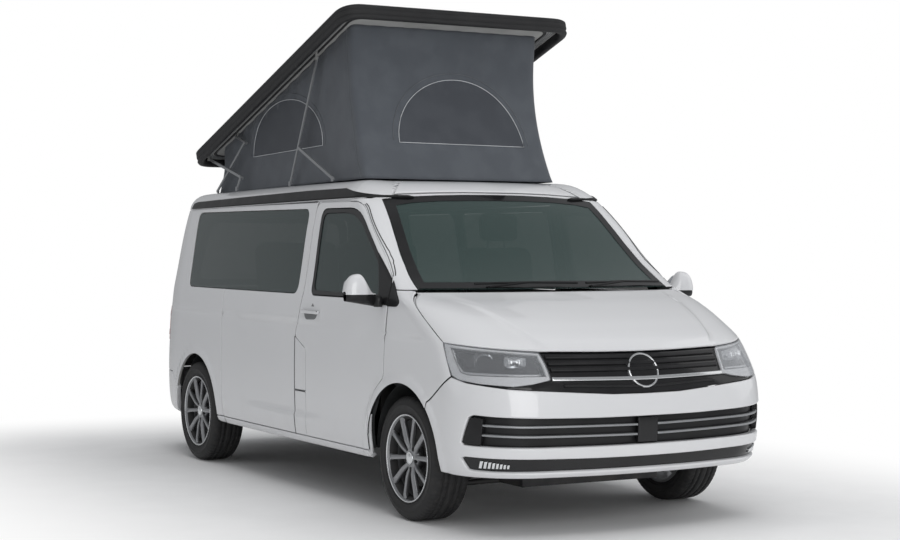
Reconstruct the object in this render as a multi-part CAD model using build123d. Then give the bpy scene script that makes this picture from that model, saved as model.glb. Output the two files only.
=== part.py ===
from build123d import *
import math
import os

# A camper van with a raised pop-up roof, in millimetres.
# X is across the van (its right side is -X), Y runs from the nose (-Y) to the tail, Z is up.
# Places along the van are measured back from the front bumper and turned into Y by the function y().

# Overall sizes
length = 4904.0
half_width = 952.0
body_top = 1835.0
front_overhang = 908.0
wheelbase = 3000.0
wall = 60.0
wall_drop = 55.0
skin = 12.0
overrun = 200.0
seat_gap = 0.3
panel_gap = 8.0
inner_gap = 30.0

# Wheels
track = 1624.0
tyre_radius = 330.0
tyre_width = 222.0
tyre_wall = 14.0
bead_radius = 216.0
rim_lip = 232.0
rim_wall = 7.0
rim_width = 196.0
spoke_count = 5
spoke_depth = 22.0
hub_radius = 78.0
hub_bore = 30.0
bolt_circle = 120.0
bolt_radius = 7.5
bolt_count = 5
spindle_play = 0.05
arch_radius = 396.0
rear_arch_radius = 384.0
arch_reach = 500.0
liner_wall = 4.0
kingpin_half = 742.0
steer_pin = 12.0

# Seams of the side, as distances from the nose and heights
hinge_seam = 1108.0
hinge_seam_low = 745.0
arch_seam = 1150.0
arch_seam_high = 715.0
step_seam = 1245.0
step_seam_high = 640.0
sill_seam_front = 1290.0
door_low = 335.0
door_step_low = 480.0
door_shoulder = 1165.0
door_reach = 650.0
seam_rise = 4.0
door_top = 1700.0
door_top_front = 1598.0
pillar_seam = 2190.0
kink_rear = 2255.0
kink_front = 2100.0
kink_high = 911.0
kink_low = 844.0
slide_seam = 3440.0
belt = 1165.0
glass_top = 1664.0
screen_base = 1215.0
roof_line_front = 1722.0
roof_line_rear = 1690.0
roof_line_start = 1605.0
roof_line_end = 4313.0
header_top = 1756.0
header_place = 1550.0

# Seams of the front, as distances from the nose and heights
cabin_split = 1300.0
bumper_top = 711.0
lamp_turn = 160.0
bumper_top_side = 742.0
lamp_low_end = 400.0
lamp_low = 797.0
lamp_top_end = 505.0
lamp_top = 961.0
lamp_inner_end = 185.0
lamp_inner_top = 921.0
lamp_inner_half = 548.0
bonnet_lip = 918.0
wing_bend = 823.0
wing_bend_high = 1137.0
screen_end = 985.0
header_back = 1632.0
bumper_end_high = 619.0
bumper_seam_high = 653.0
bumper_end_low = 560.0
bumper_seam_low = 480.0
mouth_half = 880.0
mouth_low = 455.0
mouth_high = 606.0
mouth_recess = 14.0
insert_low = 330.0
insert_high = 394.0
slat_count = 4
slat_low = 806.0
slat_pitch = 27.0
slat_open = 15.0
slat_end = 14.0
mouth_bars = (478.0, 530.0, 572.0)
mouth_bar_open = 22.0
screen_low = 1222.0
screen_low_half = 812.0
screen_high = 1713.0
screen_high_half = 706.0
screen_crown = 1744.0
screen_crown_half = 380.0
screen_crown_side = 1737.0

# Tail
gate_low = 566.0
gate_waist = 1190.0
gate_top = 1775.0
gate_low_half = 704.0
gate_top_half = 606.0
gate_start = 4340.0
gate_hinge_place = 4588.0
gate_glass_low = 1150.0
gate_glass_high = 1640.0
gate_glass_low_half = 640.0
gate_glass_high_half = 560.0
tail_lamp_half = 712.0
tail_lamp_start = 4590.0
tail_lamp_low = 772.0
tail_lamp_high = 1018.0
rear_bumper_front = 4260.0
rear_bumper_step = 470.0
rear_bumper_back = 4420.0
rear_bumper_top = 562.0

# Side windows, as distances from the nose
window_front = 2279.0
window_post = 3365.0
window_post_back = 3405.0
window_back = 4130.0
door_glass_front = 1165.0
door_glass_step = 1235.0
door_glass_low = 1160.0
door_glass_bend = 1208.0
door_glass_top_front = 1660.0
door_glass_back = 2088.0
door_glass_lean = 20.0
corner_cut = 40.0

# Hinges
hinge_half = 951.0
lug_radius = 9.0
lug_length = 34.0
lug_clear = 5.0
door_lug_levels = (775.0, 900.0)
gate_lug_half = 45.0
bonnet_hinge_place = 990.0
bonnet_hinge_high = 1217.0
bonnet_lug_half = 822.0
bonnet_arm = 12.0
bonnet_arm_reach = 62.0
bonnet_arm_drop = 18.0
lip_thick = 5.0
lip_rise = 12.0
cowl_recess = 12.0
cowl_slot = 10.0

# Roof deck and its rails
deck_front = 1836.0
deck_front_place = 1913.0
deck_rear = 1797.0
deck_rear_place = 4191.0
hatch_half = 590.0
hatch_front = 2060.0
hatch_rear = 4040.0
awning_proud = 11.0
awning_front = 1569.0
awning_front_high = 1724.0
awning_rise_place = 1886.0
awning_rise = 1779.0
awning_back = 4263.0
awning_back_high = 1737.0

# Fold-away links beside the tent
link_thick = 8.0
link_half_high = 11.0
lane_pitch = 14.0
lane_start = 671.0
pivot_rise = 16.0
bracket_thick = 4.0
bracket_half = 13.0
pin_radius = 5.0
strut_foot = 2906.0
strut_top = 2512.0
strut_hang = 36.0
brace_foot = 2258.0
brace_end = 2753.0
brace_end_high = 2051.0
low_link_foot = 4121.0
low_knee = 3648.0
low_knee_high = 2124.0
low_link_top = 3824.0
high_link_top = 4238.0
high_knee = 3648.0
high_knee_high = 1892.0
short_foot = 3704.0
roof_pivot_hang = 21.0

# Tent
tent_half = 652.0
tent_wall = 6.0
tent_waist = 2101.0
tent_waist_high = 2326.0
tent_top_front = 2114.0
tent_top_rear = 4106.0

# Cabin
dash_top = 1128.0
seat_half = 410.0
seat_width = 500.0

# Pop-up roof
pole_place = 4915.0
pole_height = 1840.0
raise_angle = 18.2
pop_front = 1777.0
pop_rear = 4298.0
pop_half = 782.0
pop_corner = 130.0
rim_height = 52.0
rim_thick = 34.0
rim_level = 1792.0
liner_thick = 6.0
pop_skin = 6.0
crown = 60.0
crown_inset = 170.0
edge_band = 30.0


def y(place):
    """Turns a distance back from the nose into Y."""
    return place - length / 2


# The body's outline at rising heights, as shares of body_top (column 1), length and half_width.
# Columns: height, nose, nose half-width, place where the nose arc ends, corner half-width,
# corner end, widest half-width, quarter half-width, tail half-width, tail arc start, tail
mid_share = 0.469
quarter_share = 0.867
SECTION_SHARES = [
    (0.155, 0.0126, 0.630, 0.0245, 0.951, 0.114, 0.951, 0.930, 0.735, 0.979, 0.989),
    (0.180, 0.0050, 0.651, 0.0180, 0.977, 0.106, 0.979, 0.949, 0.767, 0.986, 0.996),
    (0.251, 0.0010, 0.672, 0.0147, 0.992, 0.102, 0.994, 0.960, 0.777, 0.989, 0.999),
    (0.305, 0.0000, 0.672, 0.0135, 0.996, 0.100, 0.998, 0.962, 0.777, 0.990, 1.0000),
    (0.381, 0.0025, 0.662, 0.0163, 0.997, 0.102, 1.000, 0.963, 0.783, 0.986, 0.9955),
    (0.504, 0.0214, 0.588, 0.0387, 0.989, 0.122, 0.997, 0.959, 0.779, 0.980, 0.989),
    (0.572, 0.0660, 0.683, 0.0856, 0.978, 0.163, 0.987, 0.947, 0.772, 0.976, 0.9857),
    (0.616, 0.1130, 0.746, 0.1305, 0.970, 0.190, 0.979, 0.939, 0.767, 0.974, 0.983),
    (0.664, 0.1730, 0.858, 0.1994, 0.951, 0.221, 0.961, 0.924, 0.758, 0.970, 0.979),
    (0.934, 0.3060, 0.744, 0.3273, 0.857, 0.351, 0.867, 0.835, 0.683, 0.938, 0.948),
    (0.981, 0.3340, 0.699, 0.3550, 0.805, 0.385, 0.814, 0.790, 0.641, 0.918, 0.930),
    (1.000, 0.3560, 0.651, 0.3750, 0.765, 0.404, 0.772, 0.751, 0.609, 0.901, 0.9135),
]
corner_side_share = 0.75
corner_back_share = 0.33
rear_side_share = 0.33
rear_back_share = 0.573


def section(shares, inset, drop):
    """One closed outline of the body: nose, corners, sides and tail, eight arcs."""
    high, nose, nose_half, nose_end, corner, corner_end, wide, quarter, tail_half, tail_start, tail = shares
    nose_half = nose_half * half_width - inset / 2
    corner = corner * half_width - inset
    wide = wide * half_width - inset
    quarter = quarter * half_width - inset
    tail_half = tail_half * half_width - inset / 2
    nose = nose * length + inset
    nose_end = nose_end * length + inset
    corner_end = corner_end * length + inset / 2
    tail_start = tail_start * length - inset
    tail = tail * length - inset
    mid = mid_share * length
    back = quarter_share * length
    front_turn = (nose_half + corner_side_share * (corner - nose_half),
                  nose_end + corner_back_share * (corner_end - nose_end))
    rear_turn = (quarter - rear_side_share * (quarter - tail_half),
                 back + rear_back_share * (tail_start - back))
    right = [(nose_half, nose_end), front_turn, (corner, corner_end), (wide, mid),
             (quarter, back), rear_turn, (tail_half, tail_start)]
    ring = [(0, nose)] + right + [(0, tail)] + [(-x, p) for x, p in reversed(right)]
    level = high * body_top - drop
    ring = [Vector(x, y(p), level) for x, p in ring]
    arcs = []
    for i in range(1, len(ring), 2):
        arcs.append(Edge.make_three_point_arc(ring[i], ring[(i + 1) % len(ring)], ring[(i + 2) % len(ring)]))
    return Wire(arcs)


def envelope(inset, drop):
    """The body's outside, moved in by inset and down by drop."""
    return Solid.make_loft([section(row, inset, drop) for row in SECTION_SHARES], ruled=True)


def side_prism(points, x_low=-half_width - overrun, x_high=half_width + overrun):
    """A block across the van from an outline of (place, height) points."""
    ring = [Vector(x_low, y(p), h) for p, h in points]
    return Solid.extrude(Face(Wire.make_polygon(ring)), Vector(x_high - x_low, 0, 0))


def front_prism(points, place_low, place_high):
    """A block along the van from an outline of (across, height) points."""
    ring = [Vector(x, y(place_low), h) for x, h in points]
    return Solid.extrude(Face(Wire.make_polygon(ring)), Vector(0, place_high - place_low, 0))


def block(x_low, x_high, p_low, p_high, low, high):
    """A box between two corners."""
    return Solid.make_box(x_high - x_low, p_high - p_low, high - low, Plane((x_low, y(p_low), low)))


def rod(start, end, radius):
    """A round bar between two points given as (across, place, height)."""
    a = Vector(start[0], y(start[1]), start[2])
    b = Vector(end[0], y(end[1]), end[2])
    return Solid.make_cylinder(radius, (b - a).length, Plane(a, z_dir=(b - a).normalized()))


def side_rod(side, inner, outer, place, level, radius):
    """A round bar straight across the van on one side, from inner to outer."""
    return rod((side * inner, place, level), (side * outer, place, level), radius)


def inset_outline(points, amount):
    """Moves each edge of a convex-ish outline inward by amount, corners mitred."""
    area = sum(a[0] * b[1] - b[0] * a[1] for a, b in zip(points, points[1:] + points[:1]))
    turn = 1 if area > 0 else -1
    moved = []
    for i in range(len(points)):
        a, b, c = points[i - 1], points[i], points[(i + 1) % len(points)]
        u = (b[0] - a[0], b[1] - a[1])
        v = (c[0] - b[0], c[1] - b[1])
        lu = math.hypot(*u)
        lv = math.hypot(*v)
        nu = (-u[1] / lu * turn, u[0] / lu * turn)
        nv = (-v[1] / lv * turn, v[0] / lv * turn)
        along = 1 + nu[0] * nv[0] + nu[1] * nv[1]
        moved.append((b[0] + amount * (nu[0] + nv[0]) / along, b[1] + amount * (nu[1] + nv[1]) / along))
    return moved


def flip(shape):
    """The same shape on the other side of the van."""
    return shape.mirror(Plane.YZ)


def solids_of(*shapes):
    """Every solid of the shapes given, in one list, slivers left out."""
    found = []
    for shape in shapes:
        found += shape.solids()
    largest = max(s.volume for s in found)
    return [s for s in found if s.volume > largest * sliver_share]


sliver_share = 0.002
nodes = {}


def keep(name, *shapes):
    """Files shapes under a node's name."""
    nodes.setdefault(name, []).extend(solids_of(*shapes))


# Body shells
outer = envelope(0, 0)
under_skin = envelope(skin, skin)
inside = envelope(wall, wall_drop)
shell = outer - inside
glass_front = 3.0
glass_thick = 6.0
glass_back = glass_front + glass_thick
glass_shell = envelope(glass_front, glass_front) - envelope(glass_back, glass_back)

# Seams in the side view, as (place, height)
door_outline = [
    (sill_seam_front, door_low), (sill_seam_front, door_step_low), (step_seam, step_seam_high),
    (arch_seam, arch_seam_high), (hinge_seam, hinge_seam_low), (hinge_seam, door_shoulder),
    (door_top_front, door_top), (pillar_seam, door_top + seam_rise), (pillar_seam, belt),
    (kink_rear, kink_high), (kink_front, kink_low), (kink_front, door_low),
]
slide_outline = [
    (kink_front, door_low), (kink_front, kink_low), (kink_rear, kink_high), (pillar_seam, belt),
    (pillar_seam, door_top), (slide_seam, door_top - seam_rise), (slide_seam, door_low),
]
bonnet_line = [(lamp_inner_end, lamp_inner_top), (lamp_top_end, lamp_top),
               (wing_bend, wing_bend_high), (screen_end, screen_base)]
roof_line = [(-overrun, header_top), (header_place, header_top), (roof_line_start, roof_line_front),
             (roof_line_end, roof_line_rear), (length + overrun, roof_line_rear)]
high = body_top + overrun
right_side = -half_width - overrun
left_side = half_width + overrun


def without(shape, *cutters):
    """Takes each cutter off the shape in turn."""
    for cutter in cutters:
        shape = shape - cutter
    return shape


def round_cut(side, place, radius, reach=arch_reach):
    """A round cutter from the wheelhouse's inner wall out past the side."""
    return side_rod(side, reach, left_side, place, tyre_radius, radius)


axles = ((front_overhang, arch_radius), (front_overhang + wheelbase, rear_arch_radius))
front_arches = [round_cut(side, *axles[0]) for side in (-1, 1)]
rear_arches = [round_cut(side, *axles[1]) for side in (-1, 1)]

# Front and rear halves of the shell, and the roof
front_zone = block(right_side, left_side, -overrun, cabin_split, -overrun, screen_base)
roof_zone = side_prism(roof_line + [(length + overrun, high), (-overrun, high)])
deck_slope = (deck_front - deck_rear) / (deck_rear_place - deck_front_place)


def deck(place):
    """Height of the roof deck at a place."""
    return deck_front - deck_slope * (place - deck_front_place)


deck_start = deck_front_place - overrun
over_deck = side_prism([(deck_start, high), (deck_start, deck(deck_start)),
                        (length + overrun, deck(length + overrun)), (length + overrun, high)])
hatch = block(-hatch_half, hatch_half, hatch_front, hatch_rear, screen_high, high)
roof = shell & roof_zone
roof = without(roof, over_deck, hatch)
front_shell = without(shell & front_zone, *front_arches)
cabin = without(shell, front_zone, roof_zone, *front_arches, *rear_arches)

# Nose: grille, headlamps and bumper
bumper_seam = [(-overrun, bumper_top), (0, bumper_top), (lamp_turn, bumper_top_side),
               (lamp_low_end, lamp_low)]
face_zone = side_prism(bumper_seam
                       + bonnet_line[1::-1] + [(-overrun, bonnet_lip)])
bumper_zone = side_prism([(-overrun, -overrun)] + bumper_seam
                         + [(bumper_end_high, bumper_seam_high), (bumper_end_low, bumper_seam_low),
                            (bumper_end_low, -overrun)])
grille_zone = block(-lamp_inner_half, lamp_inner_half, -overrun, cabin_split, -overrun, high)
face = front_shell & face_zone
slots = [block(-lamp_inner_half + slat_end, lamp_inner_half - slat_end, -overrun, cabin_split,
               slat_low + i * slat_pitch, slat_low + i * slat_pitch + slat_open) for i in range(slat_count)]
keep("front_grille", without(face & grille_zone, *slots))
keep("headlamps", face - grille_zone)
bumper = front_shell & bumper_zone
mouth = block(-mouth_half, mouth_half, -overrun, cabin_split, mouth_low, mouth_high)
lip_slot = block(-mouth_half, mouth_half, -overrun, cabin_split, insert_low, insert_high)
keep("front_bumper", without(bumper, mouth, lip_slot))
bars = [block(-mouth_half + slat_end, mouth_half - slat_end, -overrun, cabin_split, low, low + mouth_bar_open)
        for low in mouth_bars]
back = Location((0, mouth_recess, 0))
keep("bumper_grille", without((bumper & mouth).moved(back), *bars), (bumper & lip_slot).moved(back))

# Bonnet with its skin and a smaller inner frame, hinged at the screen
bonnet_zone = side_prism([(-overrun, bonnet_lip)] + bonnet_line + [(screen_end, high), (-overrun, high)])
bonnet_edge = [(-overrun, bonnet_lip + panel_gap)] + [(p, h + panel_gap) for p, h in bonnet_line[:-1]]
bonnet_run = (screen_base - wing_bend_high) / (screen_end - wing_bend)
bonnet_corner = screen_end - 2 * panel_gap / bonnet_run
bonnet_skin_zone = side_prism(bonnet_edge + [(bonnet_corner, screen_base - panel_gap),
                                             (-overrun, screen_base - panel_gap)])
bonnet_core = [(p + inner_gap, h + inner_gap) for p, h in bonnet_edge]
bonnet_core_zone = side_prism(bonnet_core + [(-overrun, bonnet_core[-1][1])])
bonnet = ((outer - under_skin) & bonnet_skin_zone) + ((under_skin - inside) & bonnet_core_zone)
lip_low = screen_base - panel_gap - lip_rise
under_lip = envelope(lip_thick, lip_thick)
under_lip = under_lip & block(right_side, left_side, -overrun, cabin_split, lip_low, screen_base)
bonnet = bonnet - under_lip
wings = without(front_shell, face_zone, bumper_zone, bonnet_zone, side_prism(door_outline))
wing_cut = block(right_side, left_side, sill_seam_front, cabin_split, -overrun, high)
wings = wings - wing_cut


def hinge_bar(start, end, radius=lug_radius):
    """A lug round a hinge's axis."""
    return rod(start, end, radius)


bonnet_axis = (bonnet_hinge_place, bonnet_hinge_high)
frame_lugs = []
pockets = []
for side in (-1, 1):
    inner_x = side * (bonnet_lug_half - bonnet_arm / 2)
    outer_x = side * (bonnet_lug_half + bonnet_arm / 2)
    arm_end = bonnet_hinge_place - bonnet_arm_reach
    arm_high = bonnet_hinge_high - bonnet_arm_drop
    arm = side_prism([(bonnet_hinge_place, bonnet_hinge_high + lug_radius), (arm_end, arm_high),
                      (arm_end, arm_high - lug_radius), (bonnet_hinge_place, bonnet_hinge_high - lug_radius)],
                     min(inner_x, outer_x), max(inner_x, outer_x))
    bonnet = bonnet + arm + hinge_bar((inner_x, *bonnet_axis), (outer_x, *bonnet_axis))
    start = outer_x + side * seat_gap
    frame_lugs.append(hinge_bar((start, *bonnet_axis), (start + side * bonnet_arm, *bonnet_axis)))
    pockets.append(hinge_bar((inner_x - side * lug_clear, *bonnet_axis), (start, *bonnet_axis),
                             bonnet_arm_reach + lug_clear))
keep("bonnet", bonnet)

# Screen frame with its pillars and cowl, and the windscreen
door_zone = side_prism(door_outline)
frame_back = side_prism([(door_top_front, door_top), (header_back, roof_line_front), (header_back, high),
                         (length + overrun, high), (length + overrun, -overrun), (hinge_seam, -overrun),
                         (hinge_seam, door_shoulder)])
screen_outline = [(-screen_low_half, screen_low), (screen_low_half, screen_low),
                  (screen_high_half, screen_high), (screen_crown_half, screen_crown_side), (0, screen_crown),
                  (-screen_crown_half, screen_crown_side), (-screen_high_half, screen_high)]
screen_hole = front_prism(screen_outline, -overrun, roof_line_start + overrun)
over_slot = block(right_side, left_side, -overrun, length, screen_low + cowl_slot, high)
frame = without(cabin, frame_back, door_zone, screen_hole)
cowl_front = outer - envelope(cowl_recess, cowl_recess)
cowl_front = cowl_front & block(-screen_low_half, screen_low_half, -overrun, cabin_split,
                                screen_base - overrun, screen_low)
frame = without(frame, cowl_front, *pockets)
for lug in frame_lugs:
    frame = frame + lug
keep("screen_frame", frame)
windscreen = without(glass_shell & screen_hole & over_slot, roof_zone, frame_back)
keep("windscreen", windscreen)
wings = without(wings, *pockets, *frame_lugs)

# Side walls, sliding door and tail
rear = without(cabin & frame_back, door_zone)
gate_outline = [(-gate_low_half, gate_low), (gate_low_half, gate_low), (gate_low_half, gate_waist),
                (gate_top_half, gate_top), (-gate_top_half, gate_top), (-gate_low_half, gate_waist)]
gate_zone = front_prism(gate_outline, gate_start, length + overrun)
lamp_zone = block(right_side, left_side, tail_lamp_start, length + overrun, tail_lamp_low, tail_lamp_high)
lamp_zone = lamp_zone - block(-tail_lamp_half, tail_lamp_half, tail_lamp_start, length + overrun,
                              tail_lamp_low, tail_lamp_high)
rear_bumper_zone = side_prism([(rear_bumper_front, -overrun), (rear_bumper_front, rear_bumper_step),
                               (rear_bumper_back, rear_bumper_top), (length + overrun, rear_bumper_top),
                               (length + overrun, -overrun)])
keep("rear_bumper", rear & rear_bumper_zone)
keep("tail_lamps", without(rear & lamp_zone, rear_bumper_zone, gate_zone))
walls = without(rear, rear_bumper_zone, lamp_zone, gate_zone)


def window(front, rear_end, base=belt, top=glass_top):
    """A side window's outline with its corners cut."""
    return [(front + corner_cut, base), (rear_end - corner_cut, base), (rear_end, base + corner_cut),
            (rear_end, top - corner_cut), (rear_end - corner_cut, top), (front + corner_cut, top),
            (front, top - corner_cut), (front, base + corner_cut)]


right_windows = [side_prism(window(window_front, window_post), right_side, -door_reach),
                 side_prism(window(window_post_back, window_back), right_side, -door_reach)]
slide_window = side_prism(window(window_front, window_post), door_reach, left_side)
left_window = side_prism(window(slide_seam + corner_cut, window_back), door_reach, left_side)
slide_zone = side_prism(slide_outline, door_reach, left_side)
right_half = block(right_side, 0, -overrun, length + overrun, -overrun, high)
keep("side_wall_right", without(walls & right_half, *right_windows))
left_walls = walls - right_half
keep("sliding_door", without(left_walls & slide_zone, slide_window))
keep("side_wall_left", without(left_walls, slide_zone, left_window))
for zone in right_windows + [slide_window, left_window]:
    keep("side_glass", glass_shell & zone)

# Front doors, mirrors and their glass
door_glass_outline = [(door_glass_front, door_glass_low), (door_glass_back, door_glass_low),
                      (door_glass_back + door_glass_lean, glass_top), (door_glass_top_front, glass_top),
                      (door_glass_step, door_glass_bend)]
glass_zone = side_prism(door_glass_outline)
door_skin = ((outer - under_skin) & side_prism(inset_outline(door_outline, panel_gap))) - glass_zone
door_core_zone = side_prism(inset_outline(door_outline, panel_gap + inner_gap))
door_core = ((under_skin - inside) & door_core_zone) - glass_zone
doors = (door_skin + door_core) & right_half
hinge_place = hinge_seam + panel_gap / 2
right_wing = wings & right_half
for low in door_lug_levels:
    on_wing = hinge_bar((-hinge_half, hinge_place, low), (-hinge_half, hinge_place, low + lug_length))
    on_door = on_wing.moved(Location((0, 0, lug_length + seat_gap)))
    clear_wing = hinge_bar((-hinge_half, hinge_place, low - lug_clear),
                           (-hinge_half, hinge_place, low + lug_length + seat_gap), lug_radius + lug_clear)
    clear_door = clear_wing.moved(Location((0, 0, lug_length + lug_clear)))
    right_wing = right_wing - clear_door + on_wing
    doors = doors - clear_wing + on_door
keep("front_wings", right_wing, flip(right_wing))
keep("door_right", doors)
keep("door_left", flip(doors))
door_glass = (glass_shell & glass_zone) & right_half
keep("door_glass_right", door_glass)
keep("door_glass_left", flip(door_glass))

mirror_front = 1128.0
mirror_back = 1236.0
mirror_low = 1118.0
mirror_high = 1300.0
mirror_in = 962.0
mirror_out = 1148.0
mirror_round = 34.0
mirror_arm_radius = 22.0
mirror_foot = 1170.0
head = block(-mirror_out, -mirror_in, mirror_front, mirror_back, mirror_low, mirror_high)
head = fillet(head.edges(), mirror_round)
arm = rod((-mirror_in - mirror_round, mirror_foot, mirror_low + mirror_round),
          (-half_width + wall, mirror_foot, mirror_low), mirror_arm_radius)
mirror = (head + arm) - outer
keep("mirror_right", mirror)
keep("mirror_left", flip(mirror))

# Tailgate, hinged at the roof
gate_glass_outline = [(-gate_glass_low_half, gate_glass_low), (gate_glass_low_half, gate_glass_low),
                      (gate_glass_high_half, gate_glass_high), (-gate_glass_high_half, gate_glass_high)]
gate_glass_zone = front_prism(gate_glass_outline, gate_start, length + overrun)
gate_skin_zone = front_prism(inset_outline(gate_outline, panel_gap), gate_start, length + overrun)
gate_core_zone = front_prism(inset_outline(gate_outline, panel_gap + inner_gap), gate_start, length + overrun)
gate = ((outer - under_skin) & gate_skin_zone) + ((under_skin - inside) & gate_core_zone)
gate = gate - gate_glass_zone
gate_axis = (gate_hinge_place, gate_top - panel_gap / 2)
roof = roof - gate_zone
for side in (-1, 1):
    start = side * gate_lug_half
    mid = side * (gate_lug_half + lug_length)
    end = side * (gate_lug_half + 2 * lug_length)
    clear_end = side * (gate_lug_half + 2 * lug_length + lug_clear)
    roof = roof - hinge_bar((mid, *gate_axis), (clear_end, *gate_axis), lug_radius + lug_clear)
    gate = gate - hinge_bar((start - side * lug_clear, *gate_axis), (mid, *gate_axis), lug_radius + lug_clear)
    walls_lug = hinge_bar((start, *gate_axis), (mid - side * seat_gap, *gate_axis))
    roof = roof + walls_lug
    gate = gate + hinge_bar((mid, *gate_axis), (end, *gate_axis))
keep("roof_panel", roof)
keep("tailgate", gate)
keep("tailgate_glass", glass_shell & gate_glass_zone)

# Awning rails along the roof's sides
proud = envelope(-awning_proud, 0) - envelope(-seat_gap, 0)
awning = proud & side_prism([(awning_front, awning_front_high), (awning_rise_place, awning_rise),
                             (awning_back, awning_back_high), (roof_line_end, roof_line_rear)])
keep("awning_rails", awning)

# Wipers: a bowed blade on each side just off the glass, its arm on a spindle from the cowl
wiper_radius = 6.0
wiper_stand = 19.0
wiper_level = 1246.0
wiper_hub_rise = 6.0
spindle_rise = 7.0
spindle_depth = 32.0
# Across the van: the blade's right end, its middle, its left end and the arm's foot
right_wiper = (-500.0, -185.0, 130.0, -430.0)
left_wiper = (190.0, 475.0, 760.0, 215.0)


def nose_place(across, level):
    """Place of the body's front face at a distance across and a height."""
    share = level / body_top
    above = next(i for i, row in enumerate(SECTION_SHARES) if row[0] > share)
    low, top = SECTION_SHARES[above - 1], SECTION_SHARES[above]
    part = (share - low[0]) / (top[0] - low[0])
    nose, half, end = [low[i] + part * (top[i] - low[i]) for i in (1, 2, 3)]
    chord = half * half_width
    rise = (end - nose) * length
    bow = (chord ** 2 + rise ** 2) / (2 * rise)
    return nose * length + bow - math.sqrt(bow ** 2 - across ** 2)


def off_glass(across, level):
    """A point just off the windscreen."""
    return (across, nose_place(across, level) - wiper_stand, level)


for right_end, middle, left_end, foot in (right_wiper, left_wiper):
    hub = off_glass(middle, wiper_level + wiper_hub_rise)
    start = off_glass(foot, screen_low + spindle_rise)
    wiper = rod(off_glass(right_end, wiper_level), hub, wiper_radius)
    wiper = wiper + rod(hub, off_glass(left_end, wiper_level), wiper_radius) + rod(start, hub, wiper_radius)
    spindle_end = (foot, nose_place(foot, screen_low) + spindle_depth, screen_low)
    wiper = wiper + rod(start, spindle_end, wiper_radius)
    keep("wipers", without(wiper, frame, windscreen))

# Floor, wheelhouses and what hangs below
floor_low = 345.0
floor_high = 402.0
floor_rear = 4780.0
toe_height = 298.0
door_room_half = 866.0
floor = inside & block(right_side, left_side, cabin_split, floor_rear, floor_low, floor_high)
liner_cuts = [round_cut(side, place, radius + liner_wall, arch_reach - liner_wall)
              for place, radius in axles for side in (-1, 1)]
toe_board = inside & block(right_side, left_side, cabin_split, cabin_split + skin,
                           floor_high, floor_high + toe_height)
door_room = [block(low_x, low_x + left_side, hinge_seam - inner_gap, kink_rear + inner_gap,
                   floor_low + panel_gap, high)
             for low_x in (-left_side - door_room_half, door_room_half)]
keep("floor_pan", without(floor + toe_board, *liner_cuts, *door_room))
over_floor = block(right_side, left_side, -overrun, length + overrun, floor_low, high)
for place, radius in axles:
    for side in (-1, 1):
        drum = round_cut(side, place, radius + liner_wall - seat_gap, arch_reach - liner_wall)
        hollow = round_cut(side, place, radius)
        keep("wheel_arches", (drum - hollow) & over_floor & inside)

# Running gear
axle_front = front_overhang
axle_rear = front_overhang + wheelbase
beam_half = 430.0
beam_width = 60.0
beam_low = 470.0
beam_high = 560.0
cross_low = 190.0
arm_radius = 16.0
arm_inner = 360.0
arm_level = 190.0
arm_spread = 150.0
kingpin_out = 775.0
joint_level = 176.0
knuckle_radius = 34.0
knuckle_in = 640.0
spindle_out = 856.0
engine_half = 340.0
engine_front = 470.0
engine_back = 1010.0
engine_low = 250.0
engine_high = 800.0
rails = []
behind_mouth = inside.moved(Location((0, mouth_recess + seat_gap, 0)))
for side in (-1, 1):
    low_x = min(side * beam_half, side * (beam_half - beam_width))
    rails.append(block(low_x, low_x + beam_width, 0, cabin_split, beam_low, beam_high) & behind_mouth)
    rails.append(block(low_x, low_x + beam_width, engine_back, engine_back + beam_width, cross_low, beam_low))
cross = block(-beam_half, beam_half, engine_front + beam_width, engine_back + beam_width,
              cross_low, engine_low - seat_gap)
opening_half = arm_inner - beam_width
cross = cross - block(-opening_half, opening_half, engine_front + 2 * beam_width, engine_back,
                      -overrun, engine_high)
subframe = cross
for bar in rails:
    subframe = subframe + bar
for side in (-1, 1):
    ball = (side * kingpin_half, axle_front, joint_level)
    for place in (axle_front - arm_spread, axle_front + arm_spread):
        subframe = subframe + rod((side * arm_inner, place, arm_level + arm_radius), ball, arm_radius)
    subframe = subframe + rod((side * kingpin_half, axle_front, joint_level - arm_radius),
                              (side * kingpin_half, axle_front, joint_level + knuckle_radius), steer_pin)
keep("front_subframe", subframe)
keep("engine_block", block(-engine_half, engine_half, engine_front, engine_back, engine_low, engine_high))

# Knuckles: a hub carrier on the ball joint, with the spring leg inboard of the tyre
leg_half = 664.0
leg_radius = 26.0
leg_top = 714.0
for side, name in ((-1, "knuckle_right"), (1, "knuckle_left")):
    carrier = side_rod(side, knuckle_in, kingpin_out, axle_front, tyre_radius, hub_radius)
    carrier = carrier + rod((side * kingpin_half, axle_front, joint_level + arm_radius + lug_clear),
                            (side * kingpin_half, axle_front, tyre_radius), knuckle_radius)
    carrier = carrier - rod((side * kingpin_half, axle_front, -overrun),
                            (side * kingpin_half, axle_front, joint_level + knuckle_radius + lug_clear),
                            steer_pin + spindle_play)
    carrier = carrier + rod((side * leg_half, axle_front, tyre_radius),
                            (side * leg_half, axle_front, leg_top), leg_radius)
    carrier = carrier + side_rod(side, kingpin_out, spindle_out, axle_front, tyre_radius, hub_bore)
    keep(name, carrier)

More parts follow.
